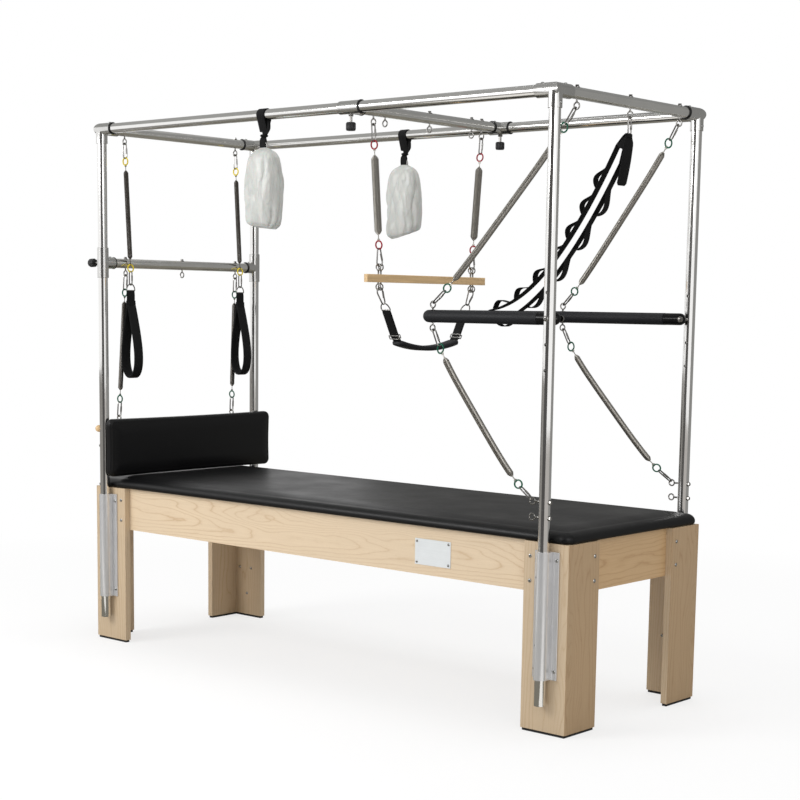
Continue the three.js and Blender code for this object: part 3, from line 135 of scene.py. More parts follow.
# Eyebolts
EYE_RADIUS = 0.0105
EYE_WIRE = 0.0025
EYE_DROP = 0.039
EYE_LOW_DROP = 0.030
SHANK = 0.003
NUT = 0.0065
NUT_HEIGHT = 0.0055
WASHER = 0.009
WASHER_HEIGHT = 0.0012
OUTER_EYE_Y = 0.300
INNER_EYE_Y = 0.240
POST_EYE_HEIGHTS = (0.762, 0.711)
POST_EYE_REACH = 0.049
FAR_BOLT_HEIGHTS = (0.796, 0.641)

# Clips, rings and coils
CLIP_LENGTH = 0.060
CLIP_BEND = 0.0082
CLIP_WIDE = 0.014
CLIP_WIRE = 0.0026
HOOK_REST = 0.0052
WIDE_REST = 0.0078
GATE = 0.0036
RING_RADIUS = 0.0143
RING_WIRE = 0.0027
WELDED = 0.0026
SPRING_TAIL = 0.021
SPRING_HOOK = 0.0048
PUSH_COIL = 0.0110
HEAVY_COIL = 0.0140
HEAVY_WIRE = 0.0016
LIGHT_COIL = 0.0100
LIGHT_WIRE = 0.0012
TAPER_TURNS = 4
TURN_STEPS = 12
WIRE_SIDES = 6

# Push-through bar
PUSH_RADIUS = 0.021
PUSH_CROSS_X = POST_X - 0.548
PUSH_Y = POST_Y - TUBE - 0.003 - PUSH_RADIUS
PUSH_BEND = 0.034
PUSH_CORE = 0.0127
PUSH_TIP = 0.080
PIVOT_HEAD = 0.0090
UPPER_SAG = 0.015
LOWER_SAG = 0.027

# Trapeze, roll-down bar and sling
TRAPEZE_BAR = 1.467
FLAT_BAR_HEIGHT = 0.028
FLAT_BAR_THICK = 0.016
BAR_RADIUS = 0.014
TRAPEZE_EYE_Y = 0.258
TWIN = 0.0065
ROLL_BAR = 0.864
ROLL_EYE_Y = 0.311
BUCKLE_Y = 0.172
BUCKLE_Z = 1.262
PAD_END_Y = 0.162
PAD_END_Z = 1.242
PAD_LOW_Z = 1.220
PAD_WIDTH = 0.054
PAD_THICK = 0.018
WEBBING = 0.0036
DEE_HALF = 0.021
DEE_HEIGHT = 0.026
DEE_WIRE = 0.0023
DEE_WIDTH = 2 * (DEE_HALF - DEE_WIRE)

# Foot loops
FOOT_LEAN = 0.0645
LOOP_WIDTH = 0.044
LOOP_THICK = 0.009
LOOP_NECK = 0.052
LOOP_LENGTH = 0.345
LOOP_HALF_GAP = 0.034
LOOP_SHIFT = 0.008
LOOP_WIDEST = 0.72

# Safety strap
STRAP_WIDTH = 0.030
STRAP_THICK = 0.003
STRAP_PEAK = 1.940
STRAP_TOP = (POST_X - 0.042, 1.905)
STRAP_FORK = (POST_X - 0.027, 1.846)
STRAP_ARRIVAL = 0.164
STRAP_CURVE = 0.331
STRAP_RISE = 0.024
STRAP_LOOP_SHARE = 0.74
STRAP_UPPER_LOOPS = 7
STRAP_LOWER_LOOPS = 5
TAIL_LENGTH = 0.165
TAIL_WIDTH = 0.054
TAIL_LEAN = 0.026

# Bagged slings, with heights above the bag's foot or its top
BAG_HEIGHT = 0.283
BAG_LOOP = 0.056
BAG_KNOT = 0.042
BAG_RING = 0.006
BAG_STRAP = 0.038
BAG_HANG = 0.046

# Crowns of the cushions
MATTRESS_CROWN = 0.009
BOLSTER_CROWN = 0.006

# Where the grain's arches are centred, and the painted shade that makes the end boards darker and more orange
RAIL_GRAIN_Z = 0.535
LEG_GRAIN_FOLD = 1.47
END_SHADE_TINT = (0.80, 0.71, 0.60)

# Camera, solved from the photograph
CAMERA_PLACE = (4.2285, -4.7030, 1.3808)
CAMERA_AZIMUTH = 40.90
CAMERA_TILT = 7.692
CAMERA_ROLL = 0.845
CAMERA_LENS = 75.51
CAMERA_SENSOR = 36
PICTURE_SIDE = 800
PICTURE_CENTRE = (405.92, 530.11)

# Studio
FLOOR_REACH = 30.0
WALL = 3.4
ROOF = 3.5
WORLD_STRENGTH = 0.62

COLOUR = {"subtype": "COLOR", "size": 3, "min": 0, "max": 1}


class TableColours(bpy.types.PropertyGroup):
    """Colours that can be changed before the pieces are built."""

    maple: bpy.props.FloatVectorProperty(
        name="Maple", description="Colour of the boards", default=(0.700, 0.560, 0.395), **COLOUR)
    bar_wood: bpy.props.FloatVectorProperty(
        name="Bar wood", description="Colour of the wooden bars", default=(0.640, 0.435, 0.220), **COLOUR)
    upholstery: bpy.props.FloatVectorProperty(
        name="Upholstery", description="Colour of the mattress and bolster",
        default=(0.0030, 0.0030, 0.0035), **COLOUR)
    bar_padding: bpy.props.FloatVectorProperty(
        name="Bar padding", description="Colour of the push-through bar's sleeve",
        default=(0.010, 0.0105, 0.0125), **COLOUR)
    webbing: bpy.props.FloatVectorProperty(
        name="Webbing", description="Colour of the straps", default=(0.0025, 0.0025, 0.0028), **COLOUR)
    fleece: bpy.props.FloatVectorProperty(
        name="Fleece", description="Colour of the bagged slings", default=(0.540, 0.548, 0.520), **COLOUR)
    red: bpy.props.FloatVectorProperty(
        name="Red ring", description="Rings of the trapeze springs", default=(0.300, 0.004, 0.020), **COLOUR)
    yellow: bpy.props.FloatVectorProperty(
        name="Yellow ring", description="Rings of the foot springs", default=(0.720, 0.560, 0.020), **COLOUR)
    green: bpy.props.FloatVectorProperty(
        name="Green ring", description="Rings of the other springs", default=(0.003, 0.095, 0.050), **COLOUR)


class TableSizes(bpy.types.PropertyGroup):
    """Sizes of fine detail that can be changed before the pieces are built."""

    edge: bpy.props.FloatProperty(
        name="Board edge", description="Width of the eased edge of each board",
        default=0.0018, min=0, max=0.006, unit="LENGTH")
    screw: bpy.props.FloatProperty(
        name="Screw head", description="Radius of the pan-head screws",
        default=0.0065, min=0.002, max=0.012, unit="LENGTH")
    gasket: bpy.props.FloatProperty(
        name="Gasket", description="Thickness of the black rings at the fittings",
        default=0.0022, min=0.0005, max=0.005, unit="LENGTH")
    knob_lobes: bpy.props.IntProperty(
        name="Knob flutes", description="Number of flutes round a locking knob", default=10, min=5, max=24)
    bag_folds: bpy.props.IntProperty(
        name="Bag folds", description="Number of soft folds round a bagged sling", default=7, min=2, max=16)


# Forms: points, faces and a length and width coordinate for each corner of each face

def unit(vectors):
    vectors = np.asarray(vectors, float)
    return vectors / np.maximum(np.linalg.norm(vectors, axis=-1, keepdims=True), 1e-12)


def run_of(points):
    """Length along a path at each of its points, from 0."""
    return np.concatenate([[0], np.cumsum(np.linalg.norm(np.diff(points, axis=0), axis=1))])


def in_plane(points):
    """Points of (x, z) on the table's middle plane."""
    return [(x, 0, z) for x, z in points]


def circle(radius, sides):
    angles = 2 * math.pi * (np.arange(sides) + 0.5) / sides
    return np.stack([radius * np.cos(angles), radius * np.sin(angles)], 1)


def soft_strip(width, thick, steps=5):
    """Outline of a strip with round edges: width across, thick the other way."""
    half, round_off = width / 2, thick / 2
    angles = np.linspace(-math.pi / 2, math.pi / 2, steps)
    right = [(half - round_off + round_off * math.cos(a), round_off * math.sin(a)) for a in angles]
    left = [(-x, -y) for x, y in right]
    return np.array(right + left)


def skin(rings, closed_along=False, closed_round=True, ends=True, u=None, v=None):
    """Faces over rings of points that all have the same number of points."""
    rings = np.asarray(rings, float)
    n, m = rings.shape[:2]
    spans = n if closed_along else n - 1
    cols = m if closed_round else m - 1
    i, k = np.meshgrid(np.arange(spans), np.arange(cols), indexing="ij")
    i, k = i.ravel(), k.ravel()
    i2, k2 = (i + 1) % n, (k + 1) % m
    faces = np.stack([i * m + k, i * m + k2, i2 * m + k2, i2 * m + k], 1)
    u = np.arange(n + 1) if u is None else np.asarray(u, float)
    v = np.arange(m + 1) if v is None else np.asarray(v, float)
    coords = np.stack([
        np.stack([u[i], v[k]], 1), np.stack([u[i], v[k + 1]], 1),
        np.stack([u[i + 1], v[k + 1]], 1), np.stack([u[i + 1], v[k]], 1)], 1)
    faces, coords = faces.tolist(), coords.tolist()
    if ends and not closed_along:
        last = (n - 1) * m
        faces += [list(range(m - 1, -1, -1)), list(range(last, last + m))]
        coords += [[[0, 0]] * m, [[0, 0]] * m]
    return rings.reshape(-1, 3), faces, coords


def sweep(path, outline, closed=False, across=None, sizes=None):
    """An outline carried along a path, without twist or with its first axis held to one direction."""
    path, outline = np.asarray(path, float), np.asarray(outline, float)
    if closed:
        ahead = unit(np.roll(path, -1, 0) - np.roll(path, 1, 0))
    else:
        ahead = unit(np.gradient(path, axis=0))
    if across is None:
        start = np.array(Y if abs(ahead[0][1]) < 0.7 else X)
        sides = []
        for direction in ahead:
            start = unit(start - direction * (start @ direction))
            sides.append(start)
        sides = np.array(sides)
    else:
        across = np.asarray(across, float)
        sides = unit(across - ahead * (ahead @ across)[:, None])
    lifts = np.cross(ahead, sides)
    scale = np.ones(len(path)) if sizes is None else np.asarray(sizes, float)
    rings = path[:, None] + scale[:, None, None] * (
        outline[None, :, :1] * sides[:, None] + outline[None, :, 1:] * lifts[:, None])
    return skin(rings, closed_along=closed, u=run_of(np.vstack([path, path[:1]])),
                v=run_of(np.vstack([outline, outline[:1]])))


def band(path, width, thick, across=X, steps=5, sizes=None):
    """Webbing along a path, its width held to one direction."""
    return sweep(path, soft_strip(width, thick, steps), across=across, sizes=sizes)


def square_to(normal):
    """Three directions that stand square to each other, the first along the normal."""
    normal = Vector(normal).normalized()
    side = normal.orthogonal().normalized()
    return normal, side, normal.cross(side)


def turned(start, along, profile, sides=ROUND, hollow=False):
    """A form turned about an axis: profile holds (distance along, radius), hollow closes it on itself."""
    axis, side, lift = (np.array(direction) for direction in square_to(along))
    ring = circle(1, sides)
    ring = ring[:, :1] * side + ring[:, 1:] * lift
    rings = [np.array(start) + distance * axis + radius * ring for distance, radius in profile]
    profile = np.asarray([*profile, profile[0]], float)
    around = np.linspace(0, 2 * math.pi * profile[:, 1].max(), sides + 1)
    return skin(rings, closed_along=hollow, u=run_of(profile), v=around)


def rod(start, along, length, radius, sides=ROUND):
    """A plain round rod, also used to bore."""
    return turned(start, along, [(0, radius), (length, radius)], sides=sides)


def pipe(start, end, radius, wall=TUBE_WALL):
    """A straight tube with eased ends, open at both."""
    run = Vector(end) - Vector(start)
    length, ease = run.length, wall / 4
    inner = radius - wall
    return turned(start, run, [
        (0, radius - ease), (ease, radius), (length - ease, radius), (length, radius - ease),
        (length, inner), (0, inner)], hollow=True)


def bar(start, end, radius, ease=0.0005, sides=ROUND):
    """A solid round bar with eased ends."""
    run = Vector(end) - Vector(start)
    length = run.length
    return turned(start, run, [
        (0, radius - ease), (ease, radius), (length - ease, radius), (length, radius - ease)], sides=sides)


def hoop(centre, normal, radius, wire, steps=32, sides=SMALL_ROUND):
    """A round ring of wire about a normal."""
    normal, side, lift = square_to(normal)
    angles = 2 * math.pi * np.arange(steps) / steps
    path = [Vector(centre) + radius * (side * math.cos(a) + lift * math.sin(a)) for a in angles]
    return sweep(path, circle(wire, sides), closed=True, across=normal)


def moved(form, matrix):
    points, faces, coords = form
    rotation, shift = np.array(matrix.to_3x3()), np.array(matrix.to_translation())
    return points @ rotation.T + shift, faces, coords


def solid_of(form, name="blank"):
    mesh = bpy.data.meshes.new(name)
    mesh.from_pydata(form[0].tolist(), [], form[1])
    mesh.update()
    made = bpy.data.objects.new(name, mesh)
    bpy.context.scene.collection.objects.link(made)
    return made


def worked(base, *tools):
    """A form joined with others or cut by them: each tool is (operation, form)."""
    body = solid_of(base)
    cutters = []
    for operation, form in tools:
        cutter = solid_of(form)
        step = body.modifiers.new("work", "BOOLEAN")
        step.operation, step.solver, step.object = operation, "EXACT", cutter
        cutters.append(cutter)
    bpy.context.view_layer.update()
    result = body.evaluated_get(bpy.context.evaluated_depsgraph_get()).to_mesh()
    points = np.array([v.co for v in result.vertices], float).reshape(-1, 3)
    faces = [list(p.vertices) for p in result.polygons]
    for spent in [body, *cutters]:
        bpy.data.objects.remove(spent, do_unlink=True)
    return points, faces, [[[0, 0]] * len(f) for f in faces]


def cut(base, *forms):
    return worked(base, *[("DIFFERENCE", form) for form in forms])


class Piece:
    """One mesh while it is being put together from forms, each with the name of its finish."""

    def __init__(self, name):
        self.name = name
        self.points, self.faces, self.coords, self.marks, self.finishes = [], [], [], [], []
        self.count = 0

    def add(self, finish, *forms):
        if finish not in self.finishes:
            self.finishes.append(finish)
        mark = self.finishes.index(finish)
        for points, faces, coords in forms:
            self.points.append(points)
            self.faces += [[index + self.count for index in face] for face in faces]
            self.coords += coords
            self.marks += [mark] * len(faces)
            self.count += len(points)
        return self

    def build(self, body, replaces=(), slot=None, sharp=35):
        mesh = bpy.data.meshes.new(self.name)
        mesh.from_pydata(np.concatenate(self.points).tolist(), [], self.faces)
        for finish in self.finishes:
            mesh.materials.append(FINISHES[finish])
        mesh.polygons.foreach_set("material_index", self.marks)
        layer = mesh.uv_layers.new(name="along")
        layer.data.foreach_set("uv", [x for face in self.coords for corner in face for x in corner])
        mesh.update()
        mesh.shade_smooth()
        mesh.set_sharp_from_angle(angle=math.radians(sharp))
        made = bpy.data.objects.new(self.name, mesh)
        bpy.context.scene.collection.objects.link(made)
        if body:
            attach(made, body)
        if replaces:
            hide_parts(*replaces)
        return made


# Finishes

def shader_sum(operation, swapped=False):
    """An operator between a Value and another one or a number, swapped for its reflected form."""
    def apply(value, other):
        return value.math(operation, other, swapped=swapped)
    return apply


class Value:
    """A socket in a finish's node tree that takes part in Python sums."""

    def __init__(self, finish, socket):
        self.finish, self.socket = finish, socket

    def math(self, operation, *others, swapped=False):
        values = [self, *others]
        if swapped:
            values.reverse()
        return self.finish.node("ShaderNodeMath", {"operation": operation}, dict(enumerate(values)))

    __add__, __radd__ = shader_sum("ADD"), shader_sum("ADD", swapped=True)
    __sub__, __rsub__ = shader_sum("SUBTRACT"), shader_sum("SUBTRACT", swapped=True)
    __mul__, __rmul__ = shader_sum("MULTIPLY"), shader_sum("MULTIPLY", swapped=True)
    __pow__, __rpow__ = shader_sum("POWER"), shader_sum("POWER", swapped=True)


class Finish:
    """A material under construction: its principled shader and the nodes that feed it."""

    def __init__(self, name, **plain):
        self.material = bpy.data.materials.new(name)
        self.material.use_nodes = True
        self.tree = self.material.node_tree
        self.shader = self.tree.nodes["Principled BSDF"]
        for socket, value in plain.items():
            self.shader.inputs[socket.replace("_", " ")].default_value = value

    def node(self, kind, settings=None, values=None, out=0):
        made = self.tree.nodes.new(kind)
        for key, value in (settings or {}).items():
            if key == "stops":
                ramp = made.color_ramp
                while len(ramp.elements) < len(value):
                    ramp.elements.new(0.5)
                for element, (place, colour) in zip(ramp.elements, value):
                    element.position, element.color = place, (*colour, 1)
            else:
                setattr(made, key, value)
        for key, value in (values or {}).items():
            self.link(made.inputs[key], value)
        return Value(self, made.outputs[out])

    def link(self, socket, value):
        if isinstance(value, Value):
            self.tree.links.new(value.socket, socket)
        elif hasattr(value, "__len__") and len(value) == 3 and socket.type == "RGBA":
            socket.default_value = (*value, 1)
        else:
            socket.default_value = value

    def feed(self, socket, value):
        self.link(self.shader.inputs[socket], value)

    def place(self):
        return self.node("ShaderNodeTexCoord", out="Object")

    def vector(self, *parts):
        return self.node("ShaderNodeCombineXYZ", values=dict(enumerate(parts)))

    def parts(self, place):
        made = self.node("ShaderNodeSeparateXYZ", values={0: place})
        return [Value(self, out) for out in made.socket.node.outputs]

    def noise(self, place, scale, detail=3, rough=0.5):
        return self.node("ShaderNodeTexNoise", values={
            "Vector": place, "Scale": scale, "Detail": detail, "Roughness": rough})

    def lines(self, stretch, detail=2, rough=0.5):
        """Noise drawn out along the axis in which the stretch is small."""
        place = self.node("ShaderNodeMapping", values={"Vector": self.place(), "Scale": stretch})
        return self.noise(place, 1.0, detail, rough)

    def mix(self, factor, first, second, blend="MIX"):
        made = self.node("ShaderNodeMix", {"data_type": "RGBA", "blend_type": blend}, {"Factor": factor})
        node = made.socket.node
        self.link(node.inputs[6], first)
        self.link(node.inputs[7], second)
        return Value(self, node.outputs[2])

    def fit(self, value, from_low, from_high, to_low, to_high):
        return self.node("ShaderNodeMapRange", values={
            "Value": value, "From Min": from_low, "From Max": from_high, "To Min": to_low, "To Max": to_high})

    def bump(self, height, strength, distance=0.0003):
        self.feed("Normal", self.node("ShaderNodeBump", values={
            "Height": height, "Strength": strength, "Distance": distance}))

    def painted(self, colour, rough):
        """The material, once its colour and roughness are fed."""
        self.feed("Base Color", colour)
        self.feed("Roughness", rough)
        return self.material

    def shown(self, surface, output="Material Output"):
        self.link(self.tree.nodes[output].inputs["Surface"], surface)


def tint(colour, factors):
    return tuple(min(1, c * f) for c, f in zip(colour, factors))


def shade(colour, factor):
    return tint(colour, (factor,) * 3)


def board_finish(name, colour, along, seed, cathedral=1.0):
    """Clear-coated maple: grain along one axis, with growth rings cut flat so that they arch. Upright boards
    get painted shade on their outer end faces.
    """
    finish = Finish(name, Coat_Weight=0.18, Coat_Roughness=0.25)
    x, y, z = finish.parts(finish.place())
    if along == "Z":
        wide, deep = x.math("ABSOLUTE"), y.math("ABSOLUTE")
        length, across, depth = z, wide + deep - LEG_GRAIN_FOLD, wide - deep
        # Painted shade: the outer end faces of the legs get a darker, more orange colour
        end_shade_mask = finish.fit(wide, LEG_X - 0.0012, LEG_X - 0.0010, 0, 1)
        colour = finish.mix(end_shade_mask, colour, tint(colour, END_SHADE_TINT))
    else:
        length, depth = (x, y) if along == "X" else (y, x)
        across = z - RAIL_GRAIN_Z

    def grain(run, wide, deep, detail=3, shift=seed, sink=0.0):
        place = finish.vector(length * run + shift, across * wide, depth * deep + sink)
        return finish.noise(place, 1.0, detail)

    drift = grain(1.7, 8.0, 3.0, detail=2, sink=seed) - 0.5
    ripple = grain(9.0, 40.0, 20.0) - 0.5
    arch = (across + drift * 0.09) ** 2.0 * 640.0 + (length + seed) * 3.6 * cathedral
    lines = (arch + ripple * 0.9 + drift * 9.0).math("PINGPONG", 0.5) * 2.0
    stops = [(place, (grey,) * 3) for place, grey in ((0.0, 0.0), (0.62, 0.08), (0.86, 0.35), (1.0, 1.0))]
    dark = finish.node("ShaderNodeValToRGB", {"stops": stops}, {0: lines})
    fibre = grain(7.0, 520.0, 520.0, shift=0.0)
    fleck = grain(90.0, 700.0, 700.0, detail=1)
    cloud = grain(2.2, 9.0, 9.0)
    marks = finish.mix(cloud, (0.93, 0.93, 0.93), (1.06, 1.05, 1.03))
    marks = finish.mix(dark * finish.fit(cloud, 0.3, 0.7, 0.35, 0.80), marks, (0.70, 0.58, 0.46))
    marks = finish.mix(finish.fit(fibre, 0.35, 0.75, 0.0, 0.32), marks, (0.80, 0.75, 0.68))
    marks = finish.mix(finish.fit(fleck, 0.66, 0.78, 0.0, 0.40), marks, (0.60, 0.50, 0.40))
    finish.bump(fibre + dark * 0.5, 0.12, 0.0004)
    return finish.painted(finish.mix(1.0, colour, marks, "MULTIPLY"), finish.fit(fibre, 0.2, 0.8, 0.38, 0.52))


def bar_wood_finish(colour):
    """Turned and oiled bar: straight grain along the bar, which lies across the table."""
    finish = Finish("turned_wood", Coat_Weight=0.15, Coat_Roughness=0.3)
    grain = finish.lines((170, 5, 170), 4, 0.6)
    fine = finish.lines((900, 22, 900))
    tone = finish.mix(finish.fit(grain, 0.3, 0.7, 0, 1), shade(colour, 1.18), shade(colour, 0.80))
    finish.bump(fine, 0.15)
    return finish.painted(finish.mix(finish.fit(fine, 0.5, 0.8, 0, 0.35), tone, shade(colour, 0.62)),
                          finish.fit(grain, 0.3, 0.7, 0.38, 0.55))


def chrome_finish():
    """Polished tube: faint smears and hairlines in its gloss."""
    finish = Finish("polished_tube", Metallic=1.0)
    smear = finish.noise(finish.place(), 9.0, 4, 0.6)
    hair = finish.lines((1200, 1200, 14))
    return finish.painted(finish.mix(smear, (0.82, 0.81, 0.79), (0.93, 0.925, 0.915)),
                          finish.fit(smear, 0.3, 0.7, 0.06, 0.11) + hair * 0.02)


def satin_finish(name, tone, rough, stretch, deep=0.05, metal=1.0):
    """Brushed metal: fine lines in the direction that the stretch is small."""
    finish = Finish(name, Metallic=metal)
    lines = finish.lines(stretch, 3, 0.6)
    cloud = finish.noise(finish.place(), 14.0)
    mixed = finish.mix(cloud, shade(tone, 0.90), shade(tone, 1.06))
    finish.bump(lines, deep)
    return finish.painted(finish.mix(finish.fit(lines, 0.3, 0.8, 0, 0.25), mixed, shade(tone, 0.72)),
                          finish.fit(lines, 0.25, 0.75, rough - 0.06, rough + 0.08))


def plain_metal(name, tone, rough):
    """Small turned or pressed metal: slightly uneven gloss, darker where it has been handled."""
    finish = Finish(name, Metallic=1.0)
    wear = finish.noise(finish.place(), 160.0, 3, 0.6)
    return finish.painted(finish.mix(wear, shade(tone, 0.78), shade(tone, 1.1)),
                          finish.fit(wear, 0.3, 0.7, rough - 0.05, rough + 0.1))


def enamel(name, colour):
    """Coloured coat on a ring, chipped a little to the metal."""
    finish = Finish(name, Coat_Weight=0.06, Coat_Roughness=0.15, Specular_IOR_Level=0.25)
    chips = finish.noise(finish.place(), 420.0, 3, 0.6)
    mask = finish.fit(chips, 0.72, 0.78, 0, 1)
    finish.feed("Metallic", mask * 0.9)
    return finish.painted(finish.mix(mask, colour, (0.35, 0.35, 0.34)),
                          finish.fit(chips, 0.3, 0.7, 0.28, 0.42))


def leather_finish(name, colour, grain, rough, lift, gloss):
    """Synthetic leather: pebbled grain over soft broad unevenness."""
    finish = Finish(name, Specular_IOR_Level=gloss)
    place = finish.place()
    cells = finish.node("ShaderNodeTexVoronoi", {"feature": "SMOOTH_F1"}, {
        "Vector": place, "Scale": grain, "Smoothness": 0.6})
    broad = finish.noise(place, 5.5)
    dust = finish.noise(place, 60.0)
    finish.bump(cells + dust * 0.3, lift, 0.0006)
    uneven = finish.fit(cells, 0.2, 0.7, 0, 1) * 0.5 + broad * 0.5
    return finish.painted(finish.mix(uneven, shade(colour, 0.78), shade(colour, 1.35)),
                          finish.fit(broad, 0.3, 0.7, rough - 0.05, rough + 0.05) + dust * 0.05)


def webbing_finish(colour):
    """Woven strap: ribs across it and yarns along it."""
    finish = Finish("woven_webbing", Specular_IOR_Level=0.25)
    u, v, _ = finish.parts(finish.node("ShaderNodeUVMap", {"uv_map": "along"}))
    rib = (u * 2600.0).math("SINE")
    yarn = (v * 3600.0 + (u * 1300.0).math("SINE") * 0.8).math("SINE")
    weave = rib * 0.5 + yarn * 0.5
    fuzz = finish.noise(finish.place(), 700.0)
    finish.bump(weave + fuzz * 0.6, 0.35, 0.0005)
    return finish.painted(finish.mix(finish.fit(weave, -1, 1, 0, 1), shade(colour, 0.55), shade(colour, 2.6)),
                          finish.fit(fuzz, 0.3, 0.7, 0.68, 0.88))


def soft_plastic(name, colour, rough, scale):
    """Moulded plastic or rubber with a fine spark-eroded grain."""
    finish = Finish(name)
    grit = finish.noise(finish.place(), scale, 3, 0.6)
    finish.bump(grit, 0.12)
    return finish.painted(finish.mix(grit, shade(colour, 0.8), shade(colour, 1.3)),
                          finish.fit(grit, 0.3, 0.7, rough - 0.07, rough + 0.07))


def film_finish(colour):
    """White fleece behind a thin clear film: cloudy colour under creased gloss, with painted shade along the
    creases.
    """
    finish = Finish("film_over_fleece", Coat_Weight=0.30, Coat_Roughness=0.16,
                    Subsurface_Weight=0.12, Subsurface_Scale=0.02)
    pile = finish.noise(finish.place(), 34.0, 5, 0.6)
    crease = finish.lines((30, 30, 9), 4, 0.55)
    ridges = 1.0 - (crease - 0.5).math("ABSOLUTE") * 11.0
    fold = finish.node("ShaderNodeClamp", values={0: ridges})
    tone = finish.mix(pile, shade(colour, 0.86), shade(colour, 1.12))
    finish.bump(fold * 0.7 + pile * 0.3, 0.55, 0.003)
    # Painted shade: the colour is darkened along the crease lines, which are also bumped
    return finish.painted(finish.mix(fold * 0.45, tone, shade(colour, 0.74)),
                          finish.fit(crease, 0.3, 0.7, 0.34, 0.6))


FINISHES = {}


def make_finishes(colours):
    """All finishes of the table, made once from the panel's colours."""
    maple = tuple(colours.maple)
    FINISHES.update(
        side=board_finish("maple_lengthwise", maple, "X", 0.0),
        # Painted shade: the end rails are coloured darker and more orange than the side rails
        end=board_finish("maple_across_painted_shade", tint(maple, (0.82, 0.69, 0.52)), "Y", 3.1, 0.6),
        leg=board_finish("maple_upright", tint(maple, (0.81, 0.79, 0.76)), "Z", 7.7, 0.8),
        deck=board_finish("deck_board_wood", shade(maple, 0.7), "X", 11.0, 0.2),
        bar=bar_wood_finish(tuple(colours.bar_wood)),
        chrome=chrome_finish(),
        satin=satin_finish("brushed_tube", (0.95, 0.94, 0.915), 0.14, (380, 9, 380), 0.02),
        fitting=satin_finish("cast_fitting", (0.74, 0.735, 0.72), 0.17, (160, 160, 160), 0.01),
        bracket=satin_finish("drawn_aluminium", (0.80, 0.80, 0.81), 0.22, (520, 520, 3), 0.05, 0.62),
        plate=satin_finish("brushed_plate", (0.84, 0.87, 0.88), 0.33, (4, 400, 620), 0.03, 0.30),
        spring=plain_metal("spring_wire", (0.17, 0.155, 0.14), 0.38),
        coil=plain_metal("bright_spring_wire", (0.56, 0.535, 0.49), 0.34),
        steel=plain_metal("bright_steel", (0.40, 0.39, 0.375), 0.15),
        screw=plain_metal("screw_steel", (0.62, 0.62, 0.61), 0.20),
        gloss=leather_finish("gloss_cap", (0.004, 0.004, 0.0045), 300.0, 0.20, 0.01, 0.20),
        red=enamel("red_ring", tuple(colours.red)),
        yellow=enamel("yellow_ring", tuple(colours.yellow)),
        green=enamel("green_ring", tuple(colours.green)),
        leather=leather_finish("black_leather", tuple(colours.upholstery), 620.0, 0.38, 0.06, 0.30),
        padding=leather_finish("charcoal_leather", tuple(colours.bar_padding), 900.0, 0.52, 0.10, 0.26),
        webbing=webbing_finish(tuple(colours.webbing)),
        rubber=soft_plastic("foot_rubber", (0.012, 0.012, 0.012), 0.75, 500.0),
        knob=soft_plastic("knob_plastic", (0.010, 0.010, 0.011), 0.42, 900.0),
        gasket=soft_plastic("gasket_rubber", (0.006, 0.006, 0.006), 0.5, 700.0),
        film=film_finish(tuple(colours.fleece)),
    )


# Small parts that many pieces carry

def eyebolt(carrier, away, drop, carrier_radius, nut=True):
    """Eye, shank, and the nut on the carrier's other side. The eye's plane holds X and Z."""
    carrier, away = Vector(carrier), Vector(away).normalized()
    root = carrier_radius * 0.92
    length = drop - EYE_RADIUS - root
    forms = [
        hoop(carrier + away * drop, Y, EYE_RADIUS, EYE_WIRE),
        turned(carrier + away * root, away, [
            (0, SHANK), (length - 0.004, SHANK), (length - 0.001, SHANK * 1.35),
            (length + 0.001, SHANK * 0.9)], sides=16),
    ]
    if nut:
        seat = carrier - away * (carrier_radius - 0.0006)
        forms += [
            rod(seat, -away, WASHER_HEIGHT, WASHER, sides=24),
            turned(seat - away * WASHER_HEIGHT, -away, [
                (0, NUT), (NUT_HEIGHT, NUT), (NUT_HEIGHT + 0.0008, NUT * 0.86)], sides=6),
            turned(seat - away * (WASHER_HEIGHT + NUT_HEIGHT), -away, [
                (0, SHANK), (0.0010, SHANK * 0.8)], sides=16),
        ]
    return forms


def screw_head(place, away, radius, height=0.0032):
    """Pan head with a round socket."""
    return turned(place, away, [
        (-0.001, radius), (height * 0.35, radius), (height * 0.75, radius * 0.86), (height, radius * 0.58),
        (height, radius * 0.36), (height * 0.45, radius * 0.34), (height * 0.40, radius * 0.05)], sides=24)


def gasket(place, along, thickness):
    """Black ring round a tube at the mouth of a fitting."""
    along, bulge = Vector(along).normalized(), FITTING + thickness * 0.45
    return turned(Vector(place) - along * thickness, along, [
        (0, BORE), (0, FITTING), (thickness * 0.3, bulge), (thickness * 1.7, bulge),
        (thickness * 2, FITTING), (thickness * 2, BORE)], hollow=True)


def fitting_arm(start, along, length):
    """One solid arm of a fitting, eased at its mouth."""
    return turned(start, along, [(0, FITTING), (length - EASE, FITTING), (length, FITTING - EASE)])


def link_path(low_end, high_end, low_bend, high_bend, steps=10):
    """Centre line of a closed link in its own plane, as (across, along) points."""
    arc = np.linspace(0, math.pi, steps)
    top = [(high_bend * math.cos(a), high_end - high_bend + high_bend * math.sin(a)) for a in arc]
    bottom = [(-low_bend * math.cos(a), low_end + low_bend - low_bend * math.sin(a)) for a in arc]
    return top + bottom


def clip_forms(low_end, high_end, low_bend=CLIP_BEND, high_bend=CLIP_BEND):
    """A spring clip along Z in the plane of X and Z, with its hinged gate on one side."""
    path = in_plane(link_path(low_end, high_end, low_bend, high_bend))
    length = high_end - low_end
    base = Vector((low_bend, 0, low_end + length * 0.30))
    run = Vector((high_bend, 0, low_end + length * 0.70)) - base
    gate_ease = 0.001
    gate = turned(base, run, [
        (0, CLIP_WIRE), (gate_ease, GATE), (run.length - gate_ease, GATE), (run.length, CLIP_WIRE)],
        sides=SMALL_ROUND)
    return [sweep(path, circle(CLIP_WIRE, 10), closed=True, across=Y), gate]


